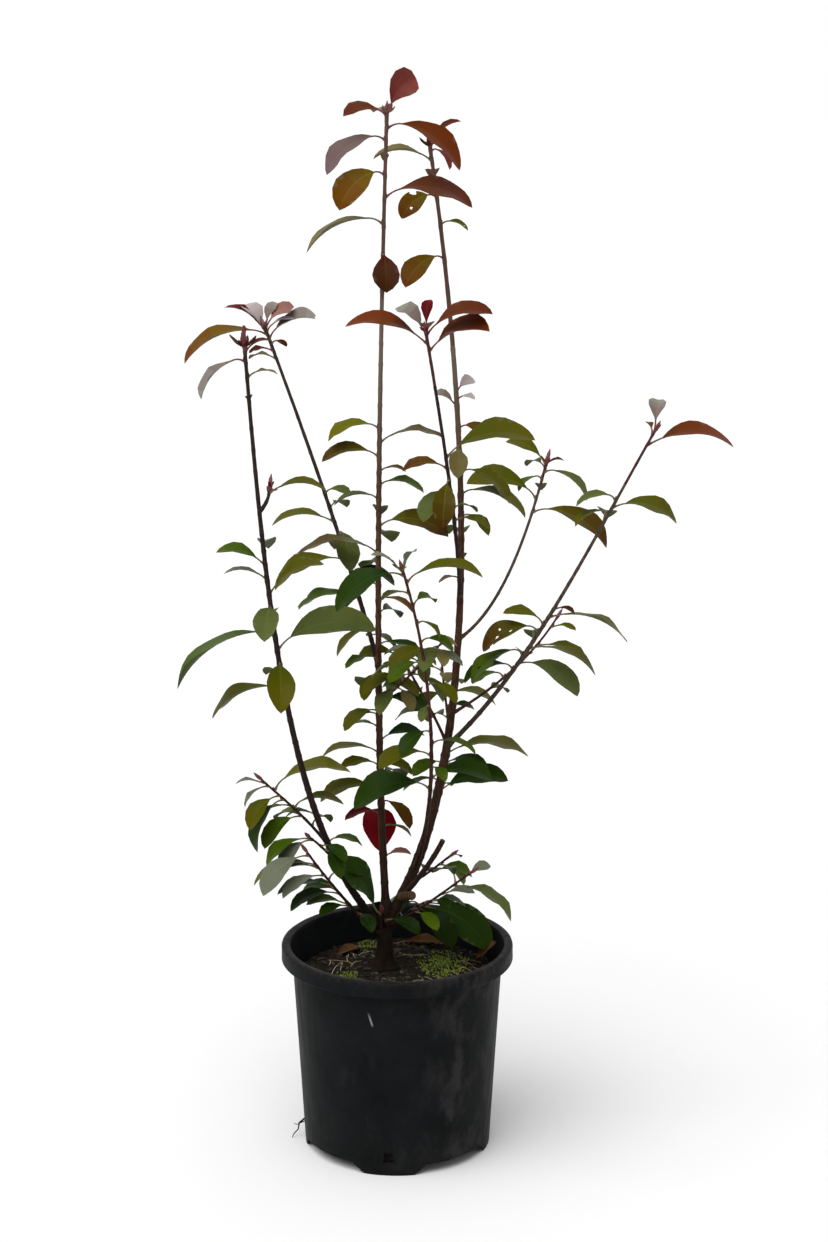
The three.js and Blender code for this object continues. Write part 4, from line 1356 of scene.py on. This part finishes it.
def grow_chips(growth, count, random):
    """Bark chips: flat shards of uneven outline, lying this way and that."""
    for _ in range(count):
        x, y = scatter_on_soil(random)
        long = between(random, *CHIP["long"]) * (1 if next(random) < 1 - LARGER_SHARE else LARGER)
        wide, thick = long * between(random, *CHIP["wide"]), long * between(random, *CHIP["thick"])
        spin = Matrix.Rotation(math.tau * next(random), 3, "Z")
        turn = spin @ Matrix.Rotation(between(random, -0.5, 0.5), 3, "X")
        centre = Vector((x, y, soil_height(x, y) + 0.3 * thick))
        slot = 0 if next(random) < 0.6 else 1 if next(random) < 0.6 else 2
        rings = []
        for z, share in CHIP_RINGS:
            ring = []
            for i in range(CHIP["sides"]):
                a = math.tau * i / CHIP["sides"]
                across = share * long / 2 * math.cos(a) * between(random, *CHIP["uneven"])
                other = share * wide / 2 * math.sin(a) * between(random, *CHIP["uneven"])
                ring.append(centre + turn @ Vector((across, other, z * thick)))
            rings.append(ring)
        growth.loft(rings, lambda k, j, slot=slot: slot)


def grow_straw(growth, count, random):
    """Dry straw and needle litter that lies on the mix."""
    steps, reach = 5, 113
    up = Vector((0, 0, 0.25))
    for _ in range(count):
        x, y = scatter_on_soil(random, inner=20, outer=104)
        turn, long = math.tau * next(random), between(random, 12, 42)
        bow = between(random, -0.5, 0.5)
        rings = []
        for k in range(steps + 1):
            s = k / steps - 0.5
            a = turn + bow * s
            px, py = x + s * long * math.cos(a), y + s * long * math.sin(a)
            if math.hypot(px, py) > reach:
                px, py = px * reach / math.hypot(px, py), py * reach / math.hypot(px, py)
            centre = Vector((px, py, soil_height(px, py) + 1 + 2.5 * (0.25 - s * s) * next(random)))
            side = Vector((-math.sin(a), math.cos(a), 0)) * (0.55 if 0 < k < steps else 0.25)
            rings.append([centre + side, centre + up, centre - side, centre - up])
        growth.loft(rings)


# Patches of moss: the place on the mix, the size, and how many shoots.
MOSS_PATCHES = [
    (52, 20, 34, 420), (66, -34, 26, 220), (-58, -30, 20, 120), (-30, 78, 22, 130), (20, -86, 16, 80),
]
# A shoot's rings: the place along it and the radius in millimetres.
MOSS_SHOOT = [(0, 0.9), (0.45, 1.25), (0.8, 0.8)]


def grow_moss(growth, random):
    """Cushions of moss: short upright shoots, crowded, in a few patches."""
    for cx, cy, size, count in MOSS_PATCHES:
        for _ in range(count):
            run, turn = size * next(random) ** 0.6, math.tau * next(random)
            x, y = cx + run * math.cos(turn) * 0.9, cy + run * math.sin(turn) * 1.25
            if math.hypot(x, y) > 112 or from_stool(x, y) < 17:
                continue
            tall = between(random, 2.4, 5.5) * (1.1 - 0.6 * run / size)
            foot = Vector((x, y, soil_height(x, y) - 0.6))
            along = Vector((between(random, -0.5, 0.5), between(random, -0.5, 0.5), 1)).normalized()
            rings = [ring_round(foot + along * (tall * s), along, r, 4) for s, r in MOSS_SHOOT]
            rings.append([foot + along * tall * 1.1])
            slot = 0 if next(random) < 0.65 else 1
            growth.loft(rings, lambda k, j, slot=slot: slot)


def grow_fallen_leaf(growth, foot, tip, face, curl, random):
    """A dead leaf that lies in the pot: from a foot to a tip, facing one way and curled along it."""
    foot, tip, face = Vector(foot), Vector(tip), Vector(face).normalized()
    length = (tip - foot).length
    side = (tip - foot).normalized().cross(face).normalized()

    def line(s):
        point = foot.lerp(tip, s) + face * (curl * length * s * (1 - s))
        return point, side, face

    grow_blade(growth, Blade(line, length, math.radians(24), random))


def grow_root(growth, radius, *places):
    """A fine root that has grown out through a drain slot, thinner towards its end."""
    places = [Vector(p) for p in places]
    last = len(places) - 1
    rings = []
    for i, place in enumerate(places):
        ahead = places[min(i + 1, last)] - places[max(i - 1, 0)]
        rings.append(ring_round(place, ahead.normalized(), radius * (1 - 0.75 * i / last), 6))
    growth.loft(rings)


pot = model_pot()
soil = model_soil()
stool = model_stool()

CHIP_COUNT, STRAW_COUNT = 620, 46
chips = Growth()
grow_chips(chips, CHIP_COUNT, seeded(SEEDS["chips"]))
chips_piece = chips.piece("bark_chips", [
    plain_material("dark_bark_chip", 0x110C08, 0.9),
    plain_material("brown_bark_chip", 0x2A1B10, 0.88),
    plain_material("grey_bark_chip", 0x453B32, 0.9),
], smooth=25)
straw = Growth()
grow_straw(straw, STRAW_COUNT, seeded(SEEDS["straw"]))
straw_piece = straw.piece("dry_litter", [plain_material("dry_straw", 0x8A7C5A, 0.7)])

# Fallen leaves: foot, tip, the way it faces, and its curl. The colours are a leaf's four bands, its
# midrib and its underside.
FALLEN = [
    ((92, 22, 214), (114, 12, 238), (-0.8, -0.5, 0.5), 0.25),
    ((-52, -62, 208), (-84, -38, 207.5), (0, 0.2, 1), 0.2),
    ((8, 88, 209), (52, 84, 209), (0, -0.2, 1), 0.22),
    ((-70, 44, 209), (-44, 70, 210), (0.1, 0, 1), 0.18),
]
DEAD_LEAF = (0x3A2210, 0x42280F, 0x4A3016, 0x4C341C, 0x5A4428, 0x50402C)
fallen = Growth()
for number, leaf in enumerate(FALLEN):
    grow_fallen_leaf(fallen, *leaf, seeded(SEEDS["fallen"] + number))
dead = [
    plain_material(f"dead_leaf_{i}", colour, 0.85, Specular_IOR_Level=0.1)
    for i, colour in enumerate(DEAD_LEAF)
]
fallen_piece = fallen.piece("fallen_leaves", dead, smooth=60)
roots = Growth()
grow_root(
    roots, 1.5, (-99, 9, 22), (-106, 8, 22), (-110, 5, 20), (-115, 6, 15), (-116, 2, 9), (-121, 0, 4),
    (-123, -3, 1),
)
grow_root(roots, 1.1, (-99, 7, 22), (-107, 4, 19), (-112, 1, 18), (-117, -3, 17), (-121, -4, 19))
grow_root(roots, 0.9, (-99, 10, 21), (-106, 11, 24), (-109, 12, 30), (-110, 13, 36))
dry_root = plain_material("dry_root", 0x0C0907, 0.85, Specular_IOR_Level=0.1)
roots_piece = roots.piece("escaped_roots", [dry_root])
moss = Growth()
grow_moss(moss, seeded(SEEDS["moss"]))
moss_piece = moss.piece("moss", [
    plain_material("bright_moss", 0x66761C, 0.85),
    plain_material("dull_moss", 0x3C4614, 0.9),
])

stems_piece = stems.piece("stems", [
    photinia_bark("old_photinia_bark", 0x20120A, 0x3C2416, 0x5E4432, 0x6A5E52, 0.78),
    photinia_bark("brown_photinia_bark", 0x22110B, 0x3A1E13, 0x5E3E2C, 0x5A4438, 0.66),
    photinia_bark("red_photinia_shoot", 0x260E0B, 0x3C1712, 0x5A2E26, 0x482420, 0.55),
    plain_material("weathered_cut_wood", 0x4A3824, 0.8, Specular_IOR_Level=0.1),
    # A copy of the bark darkened with painted shade, for the stems that stand in the shade inside the
    # shrub.
    photinia_bark("shaded_photinia_bark", 0x140C09, 0x241814, 0x3A2A24, 0x2A1F1B, 0.7),
    photinia_bark("grey_photinia_bark", 0x2A2019, 0x40332A, 0x5C4C3E, 0x4A3C32, 0.75),
])
buds_piece = buds.piece("buds", [plain_material("bud_scale", 0x541418, 0.5)])
stalk_pieces = [
    stalks[kind].piece(f"{kind}_leaf_stalks", [plain_material(f"{kind}_leaf_stalk", colour, 0.45)])
    for kind, colour in (("red", 0x562018), ("green", 0x524A20))
]
blade_pieces = {
    tint: growth.piece(f"leaves_{tint}", leaf_materials(tint), smooth=60)
    for tint, growth in blades.items() if growth.faces
}

# The CAD parts that the pieces stand for are hidden, and each piece rides on the root.
node_names = set(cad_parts)
limbs = sorted(n for n in node_names if "_limb_" in n or n == "cut_stub")
masses = sorted(n for n in node_names if n.endswith(("leaves", "crown")))
litter = (chips_piece, straw_piece, fallen_piece, roots_piece)
plant = (stems_piece, buds_piece, *stalk_pieces, *blade_pieces.values())
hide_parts("pot")
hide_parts("potting_soil")
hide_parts("trunk")
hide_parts(*limbs)
for piece in plant:
    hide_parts(*masses)
for piece in (pot, soil, stool, *litter, moss_piece, *plant):
    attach(piece, "root")


# The stage.
def make_floor():
    bpy.ops.object.select_all(action="DESELECT")
    bpy.ops.mesh.primitive_circle_add(vertices=64, radius=12, fill_type="NGON")
    floor = bpy.context.active_object
    floor.name = "floor"
    floor.data.materials.append(plain_material("pale_floor", 0xD2D2D2, 0.95, Specular_IOR_Level=0))


def make_light():
    """Soft daylight: a white wall behind, a dimmer room in front, and a broad high window, front left."""
    world = bpy.data.worlds.new("pale_sky")
    world.use_nodes = True
    tree = world.node_tree
    sky = tree.nodes["Background"]
    sky.inputs["Strength"].default_value = 1
    bearing = add_node(tree, "ShaderNodeTexCoord").outputs["Generated"]
    place = add_node(tree, "ShaderNodeSeparateXYZ", {"Vector": bearing})
    white = tone(tree, place.outputs["Y"], 0.1, 0.75, 0.6, 1)
    tree.links.new(white, sky.inputs["Color"])
    bpy.context.scene.world = world
    data = bpy.data.lights.new("window_light", "SUN")
    data.energy = 3.4
    data.angle = math.radians(60)
    light = bpy.data.objects.new("window_light", data)
    light.rotation_euler = Vector((0.5, 0.7, -1.6)).to_track_quat("-Z", "Y").to_euler()
    bpy.context.scene.collection.objects.link(light)
    bpy.context.scene.view_settings.view_transform = "Standard"


def make_camera():
    data = bpy.data.cameras.new("camera")
    data.lens = CAMERA["lens"]
    data.sensor_width = 36
    camera = bpy.data.objects.new("camera", data)
    camera.location = CAMERA["place"]
    camera.rotation_euler = (math.radians(90 - CAMERA["pitch"]), 0, 0)
    bpy.context.scene.collection.objects.link(camera)
    bpy.context.scene.camera = camera


make_floor()
make_light()
make_camera()
